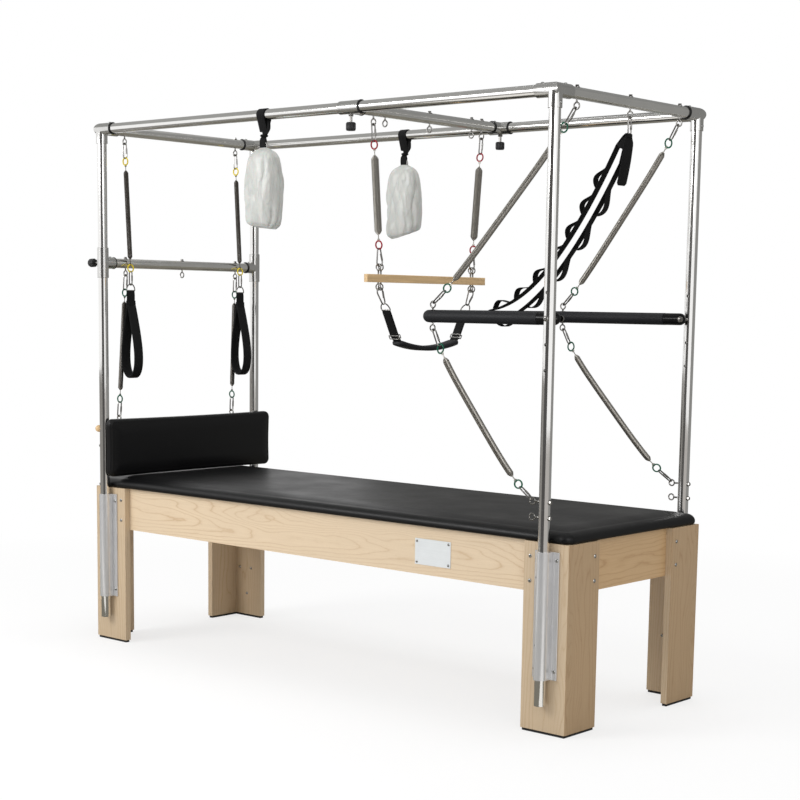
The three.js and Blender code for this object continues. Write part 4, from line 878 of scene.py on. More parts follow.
def coil_path(start, end, coil, wire):
    """Centre line of a close-wound spring along Z between two places, with tapered ends."""
    turns = max(8, int((end - start) / (2.06 * wire)))
    count = turns * TURN_STEPS
    step = np.arange(count + 1)
    angle = 2 * math.pi * step / TURN_STEPS
    edge = np.clip(np.minimum(step, count - step) / (TAPER_TURNS * TURN_STEPS), 0, 1)
    radius = (coil - wire) * np.sqrt(edge) * (1 - 0.12 * (1 - edge))
    return np.stack([radius * np.cos(angle), radius * np.sin(angle), start + (end - start) * step / count], 1)


def pull_matrix(start, end):
    """Local +Z along the pull, local X as near to the table's Y as it can be."""
    z = (Vector(end) - Vector(start)).normalized()
    x = (Y - z * z.y).normalized()
    y = z.cross(x)
    turn = Matrix((x, y, z)).transposed().to_4x4()
    return Matrix.Translation(Vector(start)) @ turn


def bowed(form, matrix, length, sag):
    """The same form hanging below the straight pull: steep at the clips, nearly straight along the coil."""
    points = np.array(form[0], float)
    down = np.array(matrix.to_3x3().inverted() @ -Z)[:2]
    share = np.clip(points[:, 2] / length, 0, 1)
    points[:, :2] += down / np.linalg.norm(down) * (sag * (1 - np.abs(2 * share - 1) ** 4))[:, None]
    return (points, *form[1:])


def spring_piece(name, start, end, coil, wire, ring, far_bend=CLIP_BEND, far_rest=HOOK_REST, far_clip=True,
                 metal="spring", sag=0.0):
    """Clip, coloured ring, close-wound coil, ring and clip from one hook to the other."""
    length = (Vector(end) - Vector(start)).length
    clip_end = CLIP_LENGTH - HOOK_REST
    near_ring = clip_end - WELDED + RING_RADIUS
    far_ring = length - near_ring if far_clip else length
    near_tail, far_tail = near_ring + RING_RADIUS, far_ring - RING_RADIUS
    coil_start, coil_end = near_tail + SPRING_TAIL, far_tail - SPRING_TAIL
    tail_wire, hook_in = wire * 1.1, 0.002
    forms = [sweep(coil_path(coil_start, coil_end, coil, wire), circle(wire, WIRE_SIDES))]
    forms += [bar(Z * a, Z * b, tail_wire, sides=SMALL_ROUND)
              for a, b in ((near_tail, coil_start), (coil_end, far_tail))]
    forms += [hoop(Z * place, X, SPRING_HOOK, tail_wire, 20, 8)
              for place in (near_tail + hook_in, far_tail - hook_in)]
    clips = clip_forms(-HOOK_REST, clip_end)
    if far_clip:
        clips += clip_forms(length - clip_end, length + far_rest, CLIP_BEND, far_bend)
    rings = [hoop(Z * near_ring, X, RING_RADIUS, RING_WIRE),
             hoop(Z * far_ring, X if far_clip else Y, RING_RADIUS, RING_WIRE)]
    matrix = pull_matrix(start, end)
    piece = Piece(name)
    for finish, group in ((metal, forms), ("steel", clips), (ring, rings)):
        if sag:
            group = [bowed(form, matrix, length, sag) for form in group]
        piece.add(finish, *[moved(form, matrix) for form in group])
    return piece


def toward(eye, target):
    """Where a clip that pulls towards a target rests in an eye."""
    pull = Vector(target) - Vector(eye)
    pull.y = 0
    return Vector(eye) + pull.normalized() * EYE_RADIUS


def dee_form(bar_z, matrix):
    """D-ring: a straight bar at the webbing and a half loop above it, in the plane of Y and Z."""
    arc = np.linspace(0, math.pi, 16)
    path = [(0, DEE_HALF * math.cos(a), bar_z + DEE_HEIGHT * math.sin(a)) for a in arc]
    return moved(sweep(path, circle(DEE_WIRE, 10), closed=True, across=X), matrix)


class TABLE_OT_base(bpy.types.Operator):
    """Finish the boards, their screws, the foot pads and the bare plate"""

    bl_idname = "trapeze_table.base"
    bl_label = "Wooden base"

    def execute(self, context):
        sizes = context.scene.trapeze_table_sizes
        boards = {"front_rail": "side", "rear_rail": "side", "near_end_rail": "end", "far_end_rail": "end",
                  "deck_board": "deck", "nameplate": "plate"}
        for end, side, _, _ in CORNERS:
            boards[f"{end}_{side}_leg"] = "leg"
            boards[f"{end}_{side}_foot_pad"] = "rubber"
        for node, finish in boards.items():
            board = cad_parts[node]
            board.data.materials.clear()
            board.data.materials.append(FINISHES[finish])
            ease = board.modifiers.new("eased_edge", "BEVEL")
            ease.width = sizes.edge if finish != "plate" else sizes.edge / 5
            ease.segments = 2
            ease.limit_method = "ANGLE"
        screws = Piece("base_screws")
        for _, _, sign_x, sign_y in CORNERS:
            for z in RAIL_SCREW_HEIGHTS:
                screws.add(
                    "screw", screw_head((sign_x * RAIL_SCREW_X, sign_y * LEG_Y, z), Y * sign_y, sizes.screw),
                    screw_head((sign_x * LEG_X, sign_y * END_SCREW_Y, z), X * sign_x, sizes.screw))
            inner = sign_y * (LEG_Y - LEG_BOARD)
            screws.add("screw", *[screw_head((sign_x * x, inner, z), Y * -sign_y, sizes.screw)
                                  for x, z in LEG_SCREWS])
        plate, face = middle("nameplate"), low("nameplate").y + SUNK
        screws.add("screw", *[
            screw_head((plate.x + x, face, plate.z + z), -Y, PLATE_SCREW, PLATE_SCREW_HEIGHT)
            for x in (-PLATE_SCREW_X, PLATE_SCREW_X) for z in (-PLATE_SCREW_Z, PLATE_SCREW_Z)])
        screws.build("frame")
        return {"FINISHED"}


def bracket_outline(outer):
    """Outline of a bracket as (across, towards the leg): a grooved plate each side of a half round."""
    plate, groove, ease, slope = 0.0044, 0.0009, 0.001, 0.0008
    groove_in, groove_out = 0.0302, 0.0322
    back = BORE + plate
    right = [(BRACKET_HALF - ease, back), (BRACKET_HALF, back - ease), (BRACKET_HALF, BORE + ease),
             (BRACKET_HALF - ease, BORE), (groove_out + slope, BORE), (groove_out, BORE + groove),
             (groove_in, BORE + groove), (groove_in - slope, BORE), (outer, BORE)]
    arc = [(outer * math.cos(a), outer * math.sin(a)) for a in np.linspace(0, -math.pi, 25)]
    return right + arc + [(-x, y) for x, y in reversed(right)]


class TABLE_OT_brackets(bpy.types.Operator):
    """Build the four drawn aluminium brackets that hold the posts"""

    bl_idname = "trapeze_table.brackets"
    bl_label = "Post brackets"

    def execute(self, context):
        sizes = context.scene.trapeze_table_sizes
        outer, past = BORE + 0.0040, 0.01
        pin, pin_height, pin_shift, pin_depth, pin_lean = 0.0022, 0.0014, 0.012, 0.0045, 0.45
        for end, side, sign_x, sign_y in CORNERS:
            x, y = sign_x * POST_X, sign_y * POST_Y
            points = [(x + a, y - sign_y * b) for a, b in bracket_outline(outer)]
            if sign_y < 0:
                points.reverse()
            rings = [[(a, b, z) for a, b in points] for z in (BRACKET_LOW, BRACKET_HIGH)]
            bore = rod((x, y, BRACKET_LOW - past), Z, BRACKET_HIGH - BRACKET_LOW + 2 * past, BORE)
            piece = Piece(f"bracket_{end}_{side}").add("bracket", cut(skin(rings), bore))
            for height, pin_z in zip(BRACKET_SCREW_HEIGHTS, PIN_HEIGHTS):
                for offset in (-BRACKET_SCREW_X, BRACKET_SCREW_X):
                    piece.add("screw", screw_head(
                        (x + offset, y - sign_y * BORE, height), Y * sign_y, sizes.screw))
                piece.add("gasket", rod((x - pin_shift, y + sign_y * (outer - pin_depth), pin_z),
                                        (-pin_lean, sign_y, 0), pin_height, pin, sides=16))
            piece.build("frame", [f"{end}_{side}_post_bracket"], "bracket_aluminium")
        return {"FINISHED"}


class TABLE_OT_tubes(bpy.types.Operator):
    """Build the posts, the long top rails and the two fixed cross tubes"""

    bl_idname = "trapeze_table.tubes"
    bl_label = "Steel tubes"

    def execute(self, context):
        cap_nut = [(0, WASHER), (0.0015, WASHER), (0.002, NUT), (0.008, NUT), (0.011, NUT * 0.85),
                   (0.014, NUT * 0.4)]
        for end, side, sign_x, sign_y in CORNERS:
            x, y = sign_x * POST_X, sign_y * POST_Y
            piece = Piece(f"post_{end}_{side}_tube")
            tube = pipe((x, y, POST_FOOT), (x, y, POST_HEAD), TUBE)
            if end == "near":
                tube = cut(tube, *[
                    bar((x, y - TUBE * 1.5, z), (x, y + TUBE * 1.5, z), HOLE, sides=20)
                    for z in (PUSH + step * HOLE_PITCH for step in (-2, -1, 0, 1))])
                for z in POST_EYE_HEIGHTS:
                    piece.add("steel", *eyebolt((x, y, z), -X, POST_EYE_REACH, TUBE))
            else:
                for z in FAR_BOLT_HEIGHTS:
                    piece.add("steel", turned((x - TUBE + 0.001, y, z), -X, cap_nut, sides=24))
            piece.add("chrome", tube)
            piece.build("frame", [f"{end}_{side}_post"], "chrome_tube", sharp=30)
        for side, sign_y in SIDES:
            rail = pipe((-RAIL_END, sign_y * POST_Y, TOP), (RAIL_END, sign_y * POST_Y, TOP), TUBE)
            Piece(f"top_rail_{side}_tube").add("chrome", rail).build(
                "frame", [f"{side}_top_rail"], "chrome_tube")
        eyes = {"near": (-OUTER_EYE_Y, 0, OUTER_EYE_Y), "far": (-OUTER_EYE_Y, OUTER_EYE_Y)}
        for end, sign_x in ENDS:
            x = sign_x * POST_X
            piece = Piece(f"crossbar_{end}_tube")
            piece.add("satin", pipe((x, -CROSS_END, TOP), (x, CROSS_END, TOP), TUBE))
            for y in eyes[end]:
                piece.add("steel", *eyebolt((x, y, TOP), -Z, EYE_DROP, TUBE))
            piece.build("frame", [f"{end}_top_crossbar"], "satin_steel")
        return {"FINISHED"}


class TABLE_OT_fittings(bpy.types.Operator):
    """Build the three-way corner fittings with their screws and gaskets"""

    bl_idname = "trapeze_table.fittings"
    bl_label = "Corner fittings"

    def execute(self, context):
        sizes = context.scene.trapeze_table_sizes
        reach = Vector((0.068, 0.074, 0.056))
        far, lap, socket_start, head = 0.3, 0.00005, 0.0257, 0.0055
        for end, side, sign_x, sign_y in CORNERS:
            corner = Vector((sign_x * POST_X, sign_y * POST_Y, TOP))
            ways = [X * -sign_x, Y * -sign_y, -Z]
            arms = [fitting_arm(corner - way * back, way, length + back)
                    for way, back, length in zip(ways, (FITTING, FITTING, 0), reach)]
            mitre = (ways[0] - ways[1]).normalized()
            arm_x, arm_y = (cut(arm, rod(corner + way * lap, way, far, far, sides=4))
                            for arm, way in ((arms[0], -mitre), (arms[1], mitre)))
            sockets = [("DIFFERENCE", rod(corner + way * socket_start, way, length, BORE))
                       for way, length in zip(ways, reach)]
            piece = Piece(f"corner_{end}_{side}_fitting")
            piece.add("fitting", worked(arm_x, ("UNION", arm_y), ("UNION", arms[2]), *sockets))
            for way, place, out in ((ways[0], 0.050, Z), (ways[1], 0.052, Z), (ways[2], 0.040, X * sign_x)):
                piece.add("screw", screw_head(corner + way * place + out * (FITTING - SUNK), out, head))
            ringed = 0 if side == "front" else 1
            if (end, side) != ("near", "front"):
                piece.add("gasket", gasket(corner + ways[ringed] * reach[ringed], ways[ringed], sizes.gasket))
            piece.build("frame", [f"{end}_{side}_corner_fitting"], "satin_steel")
        return {"FINISHED"}


def slider_piece(name, centre, along, sleeve, eyes, knob_sides, knob_away, thickness):
    """A cross bar with a tee at each end that runs along a rail or post."""
    centre, inner = Vector(centre), POST_Y - ARM
    hole, screw_in, head, overlap = 0.006, 0.016, 0.005, 0.02
    piece = Piece(name)
    for sign_y in (-1, 1):
        tee = centre + Vector((0, sign_y * POST_Y, 0))
        run = turned(tee - along * (sleeve / 2), along, [
            (0, FITTING - EASE), (EASE, FITTING), (sleeve - EASE, FITTING), (sleeve, FITTING - EASE)])
        cuts = [("UNION", fitting_arm(tee, Y * -sign_y, ARM)),
                ("DIFFERENCE", rod(tee - along * sleeve, along, 2 * sleeve, BORE))]
        if sign_y in knob_sides:
            cuts.append(("DIFFERENCE", rod(tee, knob_away, FITTING * 2, hole, sides=24)))
        piece.add("fitting", worked(run, *cuts))
        piece.add("gasket", gasket((centre.x, sign_y * inner, centre.z), Y, thickness))
        if along.x:
            piece.add("gasket", gasket(tee + along * (sleeve / 2), along, thickness))
        piece.add("screw", screw_head(
            (centre.x, sign_y * (inner + screw_in), centre.z + FITTING - SUNK), Z, head))
    piece.add("satin", pipe(centre - Y * (inner + overlap), centre + Y * (inner + overlap), TUBE))
    for y in eyes:
        piece.add("steel", *eyebolt(centre + Y * y, -Z, EYE_DROP, TUBE))
    return piece


def knob_piece(name, tube_centre, away, lobes):
    """Fluted knob on its screw, standing off a tube."""
    tube_centre = Vector(tube_centre)
    start, height, radius, depth, sides = 0.050, 0.028, 0.017, 0.0018, 120
    stud, nut, nut_height = 0.005, 0.0095, 0.006
    _, side, lift = square_to(away)
    rings = []
    for distance, scale in ((0, 0.80), (0.0015, 0.90), (0.004, 1.0), (0.0225, 1.0), (0.0262, 0.95),
                            (height, 0.84), (height, 0.60), (height - 0.001, 0.56)):
        ring = []
        for angle in 2 * math.pi * np.arange(sides) / sides:
            flute = depth * (0.5 - 0.5 * math.cos(lobes * angle)) ** 2 * (scale > 0.85)
            reach = radius * scale - flute
            ring.append(tube_centre + away * (start + distance)
                        + side * (reach * math.cos(angle)) + lift * (reach * math.sin(angle)))
        rings.append(ring)
    piece = Piece(name).add("knob", skin(rings))
    return piece.add(
        "steel", rod(tube_centre + away * BORE, away, start + 0.002 - BORE, stud, sides=24),
        turned(tube_centre + away * (FITTING + SUNK), away, [
            (0, nut), (nut_height, nut), (nut_height + 0.0008, nut - 0.0015)], sides=6))


class TABLE_OT_sliders(bpy.types.Operator):
    """Build the trapeze cross bar, the mid bar and their locking knobs"""

    bl_idname = "trapeze_table.sliders"
    bl_label = "Sliding bars and knobs"

    def execute(self, context):
        sizes = context.scene.trapeze_table_sizes
        eyes = (-OUTER_EYE_Y, -INNER_EYE_Y, 0, INNER_EYE_Y, OUTER_EYE_Y)
        for name, node, centre, along, sleeve, bar_eyes, knob_sides, knob_away in (
                ("trapeze_cross_bar", "trapeze_slider", (TRAPEZE_X, 0, TOP), X, 0.096, eyes, (-1, 1), -Z),
                ("mid_cross_bar", "mid_slider", (-POST_X, 0, MID), Z, 0.118, eyes[::2], (-1,), -X)):
            piece = slider_piece(name, centre, along, sleeve, bar_eyes, knob_sides, knob_away, sizes.gasket)
            piece.build(node, [node], "satin_steel")
        for name, node, centre, away in (
                ("trapeze_grip_front", "trapeze_knob_front", (TRAPEZE_X, -POST_Y, TOP), -Z),
                ("trapeze_grip_rear", "trapeze_knob_rear", (TRAPEZE_X, POST_Y, TOP), -Z),
                ("mid_bar_grip", "mid_slider_knob", (-POST_X, -POST_Y, MID), -X)):
            knob_piece(name, centre, away, sizes.knob_lobes).build(node, [node], "knob_plastic")
        return {"FINISHED"}


def push_path(end_x, steps=10):
    """Centre line of the push-through bar: two arms and a cross bar with round bends."""
    straight_x = PUSH_CROSS_X + PUSH_BEND + 0.2
    quarter = [math.pi / 2 * step / steps for step in range(steps + 1)]
    bends = [(PUSH_CROSS_X + PUSH_BEND * (1 - math.sin(a)),
              sign_y * (PUSH_Y - PUSH_BEND * (1 - math.cos(a))), PUSH)
             for sign_y, turns in ((-1, quarter), (1, quarter[::-1])) for a in turns]
    return [(end_x, -PUSH_Y, PUSH), (straight_x, -PUSH_Y, PUSH), *bends,
            (straight_x, PUSH_Y, PUSH), (end_x, PUSH_Y, PUSH)]


def push_eye(sign_y):
    return PUSH_CROSS_X + PUSH_BEND, sign_y * PUSH_Y


class TABLE_OT_push_bar(bpy.types.Operator):
    """Build the padded push-through bar, its eyes and its pivot bolts"""

    bl_idname = "trapeze_table.push_bar"
    bl_label = "Push-through bar"

    def execute(self, context):
        tip_x = PUSH_END_X - PUSH_TIP
        sleeve = Piece("push_bar_sleeve")
        sleeve.add("padding", sweep(push_path(tip_x), circle(PUSH_RADIUS, 36), across=Z))
        sleeve.build("push_bar", ["push_bar_pad"], "bar_padding", sharp=50)
        metal = Piece("push_bar_metal")
        cap, straight = PUSH_RADIUS * 0.985, PUSH_TIP - PUSH_RADIUS
        tip = [(0, PUSH_RADIUS * 0.93), (0.0008, cap), (straight, cap)]
        tip += [(straight + PUSH_RADIUS * math.sin(a), cap * math.cos(a)) for a in np.linspace(0.15, 1.5, 12)]
        tip = [(distance * (1 - GAP / PUSH_TIP), radius) for distance, radius in tip]
        pivot_nut = [(0, 0.010), (0.0045, 0.010), (0.0050, 0.0085), (0.0085, 0.0078), (0.0095, 0.006)]
        eye_washer = [(0, WASHER), (WASHER_HEIGHT, WASHER), (WASHER_HEIGHT + 0.0005, WASHER * 0.8)]
        for sign_y in (-1, 1):
            metal.add("gloss", turned((tip_x + GAP, sign_y * PUSH_Y, PUSH), X, tip))
            inner = sign_y * (PUSH_Y - PUSH_RADIUS + 0.004)
            metal.add("steel", turned((POST_X, inner, PUSH), Y * -sign_y, pivot_nut, sides=24))
            x, y = push_eye(sign_y)
            for sign_z in (-1, 1):
                washer_z = PUSH + sign_z * (PUSH_RADIUS - 0.0008)
                metal.add("steel", *eyebolt((x, y, PUSH), Z * sign_z, EYE_DROP, PUSH_CORE, nut=False))
                metal.add("steel", turned((x, y, washer_z), Z * sign_z, eye_washer, sides=24))
        metal.build("push_bar", ["push_bar_tube"], "chrome_tube")
        for side, sign_y in SIDES:
            head = sign_y * (POST_Y + BORE)
            bolt = Piece(f"pivot_{side}_bolt").add(
                "steel", screw_head((POST_X, head, PUSH), Y * sign_y, PIVOT_HEAD, 0.0048),
                bar((POST_X, head, PUSH), (POST_X, sign_y * PUSH_Y, PUSH), 0.0046, sides=20))
            bolt.build("frame", [f"{side}_pivot_bolt"], "chrome_tube")
        return {"FINISHED"}


def foot_places():
    """Ring centre under the mid bar, the clip below it and where the loop hangs."""
    top = TOP - EYE_DROP - EYE_RADIUS
    drop = top - (MID - TUBE)
    x = -POST_X + drop * math.tan(FOOT_LEAN)
    clip_top = top - drop - RING_RADIUS + WELDED
    clip_low = clip_top - CLIP_LENGTH + HOOK_REST
    return top, x, top - drop, clip_top, clip_low, clip_low + 0.0046


class TABLE_OT_springs(bpy.types.Operator):
    """Build all ten springs with their clips and coloured rings"""

    bl_idname = "trapeze_table.springs"
    bl_label = "Springs"

    def execute(self, context):
        eye_z, eye_reach = TOP - EYE_DROP, EYE_DROP + EYE_RADIUS
        for side, sign_y in SIDES:
            x, y = push_eye(sign_y)
            outer_y = sign_y * OUTER_EYE_Y
            top_eye = (POST_X, outer_y, eye_z)
            post_eye = (POST_X - POST_EYE_REACH, sign_y * POST_Y, POST_EYE_HEIGHTS[0])
            for place, fixed, free, sag in (("upper", top_eye, (x, y, PUSH + EYE_DROP), UPPER_SAG),
                                            ("lower", post_eye, (x, y, PUSH - EYE_DROP), LOWER_SAG)):
                start, end = toward(fixed, free), toward(free, fixed)
                piece = spring_piece(f"push_{place}_coil_{side}", start, end, PUSH_COIL, HEAVY_WIRE, "green",
                                     metal="coil", sag=sag)
                made = piece.build(None, [f"push_{place}_spring_{side}"], "spring_steel")
                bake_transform(made)
                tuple(start)
                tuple(end)
            top = (TRAPEZE_X, outer_y, eye_z - EYE_RADIUS)
            bar_eye = (TRAPEZE_X, sign_y * TRAPEZE_EYE_Y, TRAPEZE_BAR + eye_reach)
            piece = spring_piece(f"trapeze_coil_{side}", top, bar_eye, HEAVY_COIL, HEAVY_WIRE, "red",
                                 CLIP_WIDE, WIDE_REST, metal="coil")
            piece.build("trapeze", [f"trapeze_spring_{side}"], "spring_steel")
            mid_eye = (-POST_X, outer_y, MID - EYE_DROP - EYE_RADIUS)
            roll_eye = (ROLL_X, sign_y * ROLL_EYE_Y, ROLL_BAR + eye_reach)
            spring_piece(f"roll_down_coil_{side}", mid_eye, roll_eye, LIGHT_COIL, LIGHT_WIRE, "green").build(
                "roll_down", [f"roll_down_spring_{side}"], "spring_steel")
            top_z, foot_x, ring_z, clip_top, clip_low, _ = foot_places()
            piece = spring_piece(f"foot_coil_{side}", (-POST_X, outer_y, top_z), (foot_x, outer_y, ring_z),
                                 LIGHT_COIL, LIGHT_WIRE, "yellow", far_clip=False)
            turn = Matrix.Translation((foot_x, outer_y, 0))
            piece.add("steel", *[moved(form, turn) for form in clip_forms(clip_low, clip_top)])
            piece.build(f"foot_spring_{side}", [f"foot_spring_{side}"], "spring_steel")
        return {"FINISHED"}


class TABLE_OT_bars(bpy.types.Operator):
    """Build the wooden trapeze bar and roll-down bar with their eyes"""

    bl_idname = "trapeze_table.bars"
    bl_label = "Wooden bars"

    def execute(self, context):
        half = high("trapeze_bar").y
        ease = 0.0012
        across, up = FLAT_BAR_THICK / 2, FLAT_BAR_HEIGHT / 2
        outline = [(across, ease - up), (across, up - ease), (across - ease, up), (ease - across, up),
                   (-across, up - ease), (-across, ease - up), (ease - across, -up), (across - ease, -up)]
        piece = Piece("trapeze_grip_bar")
        piece.add("bar", skin([
            [(TRAPEZE_X + a, y, TRAPEZE_BAR - b) for a, b in outline] for y in (-half, half)]))
        for y in [sign_y * TRAPEZE_EYE_Y + twin for sign_y in (-1, 1) for twin in (-TWIN, TWIN)]:
            for away, drop in ((Z, EYE_DROP), (-Z, EYE_LOW_DROP)):
                piece.add("steel", *eyebolt((TRAPEZE_X, y, TRAPEZE_BAR), away, drop, up, nut=False))
        piece.build("trapeze", ["trapeze_bar"], "bar_wood")
        half = high("roll_down_bar").y
        dome = [(BAR_RADIUS * (1 - math.cos(a)), BAR_RADIUS * math.sin(a))
                for a in np.linspace(0.15, math.pi / 2, 8)]
        profile = dome + [(2 * half - d, r) for d, r in reversed(dome)]
        piece = Piece("roll_down_grip_bar").add("bar", turned((ROLL_X, -half, ROLL_BAR), Y, profile))
        for sign_y in (-1, 1):
            piece.add("steel", *eyebolt(
                (ROLL_X, sign_y * ROLL_EYE_Y, ROLL_BAR), Z, EYE_DROP, BAR_RADIUS, nut=False))
        piece.build("roll_down", ["roll_down_bar"], "bar_wood")
        return {"FINISHED"}


def buckle_forms(z):
    """Two wire frames about a height, one each side of the webbing."""
    half, wire, stand = 0.0065, 0.0019, 0.0050
    reach, side = DEE_WIDTH / 2 + 0.004, DEE_WIDTH / 2 + 0.003
    forms = []
    for y in (-stand, stand):
        runs = [((-reach, y, z + up), (reach, y, z + up)) for up in (-half, half)]
        runs += [((x, y, z - half), (x, y, z + half)) for x in (-side, side)]
        forms += [bar(start, end, wire, sides=SMALL_ROUND) for start, end in runs]
    return forms


class TABLE_OT_sling(bpy.types.Operator):
    """Build the padded sling under the trapeze with its straps, buckles and rings"""

    bl_idname = "trapeze_table.sling"
    bl_label = "Trapeze sling"

    def execute(self, context):
        hook = TRAPEZE_BAR - EYE_LOW_DROP - EYE_RADIUS
        lean = math.atan2(TRAPEZE_EYE_Y - BUCKLE_Y, hook - BUCKLE_Z)
        strap_end = -(hook - BUCKLE_Z) / math.cos(lean)
        clip_low = HOOK_REST - CLIP_LENGTH
        dee = clip_low + WELDED - DEE_HEIGHT
        straps = Piece("sling_straps")
        for sign_y in (-1, 1):
            matrix = Matrix.Translation((TRAPEZE_X, sign_y * TRAPEZE_EYE_Y, hook))
            matrix = matrix @ Matrix.Rotation(-sign_y * lean, 4, "X")
            turn = matrix @ Matrix.Rotation(math.pi / 2, 4, "Z")
            straps.add("steel", *[moved(form, turn) for form in clip_forms(
                clip_low, WIDE_REST, CLIP_BEND, CLIP_WIDE)])
            straps.add("steel", dee_form(dee, turn))
            for offset in (-WEBBING * 0.55, WEBBING * 0.55):
                path = [(0, offset * (1 - 0.8 * (i == 0)), z)
                        for i, z in enumerate(np.linspace(dee, strap_end, 10))]
                straps.add("webbing", moved(band(path, DEE_WIDTH, WEBBING), matrix))
            straps.add("steel", *[moved(form, matrix) for form in buckle_forms(strap_end)])
            path = np.linspace((TRAPEZE_X, sign_y * BUCKLE_Y, BUCKLE_Z),
                               (TRAPEZE_X, sign_y * PAD_END_Y * 0.93, PAD_END_Z - 0.003), 5)
            straps.add("webbing", band(path, DEE_WIDTH - 2 * GAP, 2 * WEBBING))
        straps.build("trapeze_sling", slot="webbing")
        share = np.linspace(-1, 1, 41)
        path = [(TRAPEZE_X, PAD_END_Y * s, PAD_LOW_Z + (PAD_END_Z - PAD_LOW_Z) * s * s) for s in share]
        taper = np.clip((1 - np.abs(share)) / 0.06, 0.0, 1.0) ** 0.5 * 0.25 + 0.75
        pad = Piece("sling_pad").add("padding", band(path, PAD_WIDTH, PAD_THICK, steps=9, sizes=taper))
        pad.build("trapeze_sling", ["trapeze_sling"], "webbing", sharp=60)
        return {"FINISHED"}


def loop_path(neck, steps=56):
    """Centre line of a foot loop, a hanging drop that starts and ends side by side at its neck."""
    path = []
    for i in range(1, steps):
        angle = math.pi * (2 * i / steps - 1)
        down = (1 + math.cos(angle)) / 2
        bulge = math.sin(angle) * math.sqrt(down) * (1 + LOOP_WIDEST * down)
        path.append((LOOP_SHIFT * math.sqrt(down) + LOOP_HALF_GAP * bulge, 0,
                     neck - (LOOP_LENGTH - LOOP_NECK) * down))
    return [(-LOOP_THICK / 2, 0, neck), *path, (LOOP_THICK / 2, 0, neck)]


class TABLE_OT_foot_loops(bpy.types.Operator):
    """Build the two padded foot loops with their necks and rings"""

    bl_idname = "trapeze_table.foot_loops"
    bl_label = "Foot loops"

    def execute(self, context):
        _, x, _, _, _, hang = foot_places()
        dee = -DEE_HEIGHT
        neck = dee - LOOP_NECK
        sewn = [(0, 0, neck + 0.012), (0, 0, neck + 0.004), (0, 0, neck - 0.010)]
        for side, sign_y in SIDES:
            matrix = Matrix.Translation((x, sign_y * OUTER_EYE_Y, hang))
            piece = Piece(f"foot_loop_{side}_strap").add("steel", dee_form(dee, matrix))
            for offset in (-WEBBING * 0.6, WEBBING * 0.6):
                path = [(offset * min(1, i / 2), 0, z)
                        for i, z in enumerate(np.linspace(dee, neck - LOOP_THICK, 9))]
                piece.add("webbing", moved(band(path, DEE_WIDTH, WEBBING, Y), matrix))
            piece.add("webbing", moved(band(sewn, LOOP_WIDTH, LOOP_THICK * 1.9, Y), matrix))
            piece.build(f"foot_loop_{side}", slot="webbing")
            loop = Piece(f"foot_loop_{side}_padding")
            loop.add("webbing", moved(band(loop_path(neck), LOOP_WIDTH, LOOP_THICK, Y, steps=7), matrix))
            loop.build(f"foot_loop_{side}", [f"foot_loop_{side}"], "webbing", sharp=60)
        return {"FINISHED"}


ARRIVE = -np.array((math.cos(STRAP_ARRIVAL), math.sin(STRAP_ARRIVAL)))


def strap_touch(turn):
    """Where the safety strap lies on the push-through bar, as (x, z), turned from the way it arrives."""
    wrap = PUSH_RADIUS + 0.0008 + STRAP_THICK / 2
    c, s = math.cos(turn), math.sin(turn)
    return np.array((PUSH_CROSS_X, PUSH)) + wrap * np.array((
        c * ARRIVE[0] - s * ARRIVE[1], s * ARRIVE[0] + c * ARRIVE[1]))


def strap_strand(start, turn, count=60):
    """One hanging strand: a curve that ends on the push-through bar along the way it arrives."""
    start, end = np.array(start), strap_touch(turn)
    bend = end - ARRIVE * STRAP_CURVE * np.linalg.norm(start - end)
    t = np.linspace(0, 1, count)[:, None]
    return (1 - t) ** 2 * start + 2 * t * (1 - t) * bend + t ** 2 * end


def strap_band(points, layers=1.0, width=STRAP_WIDTH, sizes=None):
    """Strap along points of (x, z), its thickness in layers."""
    return band(in_plane(points), width, STRAP_THICK * layers, Y, steps=4, sizes=sizes)


def strap_loops(curve, loops, outward, lead):
    """The sewn loops that stand off one strand, from the lead share of its length to its end."""
    along, share = run_of(curve), np.linspace(0, 1, 17)
    forms = []
    for n in range(loops):
        at = (lead + (1 - lead) * (n + 0.5 + STRAP_LOOP_SHARE * (share - 0.5)) / loops) * along[-1]
        line = np.stack([np.interp(at, along, curve[:, i]) for i in (0, 1)], 1)
        run = unit(np.gradient(line, axis=0))
        rise = outward * STRAP_RISE * np.clip(np.sin(math.pi * share ** 1.45), 0, 1) ** 0.8
        forms.append(strap_band(line + np.stack([-run[:, 1], run[:, 0]], 1) * rise[:, None], 0.8))
    return forms


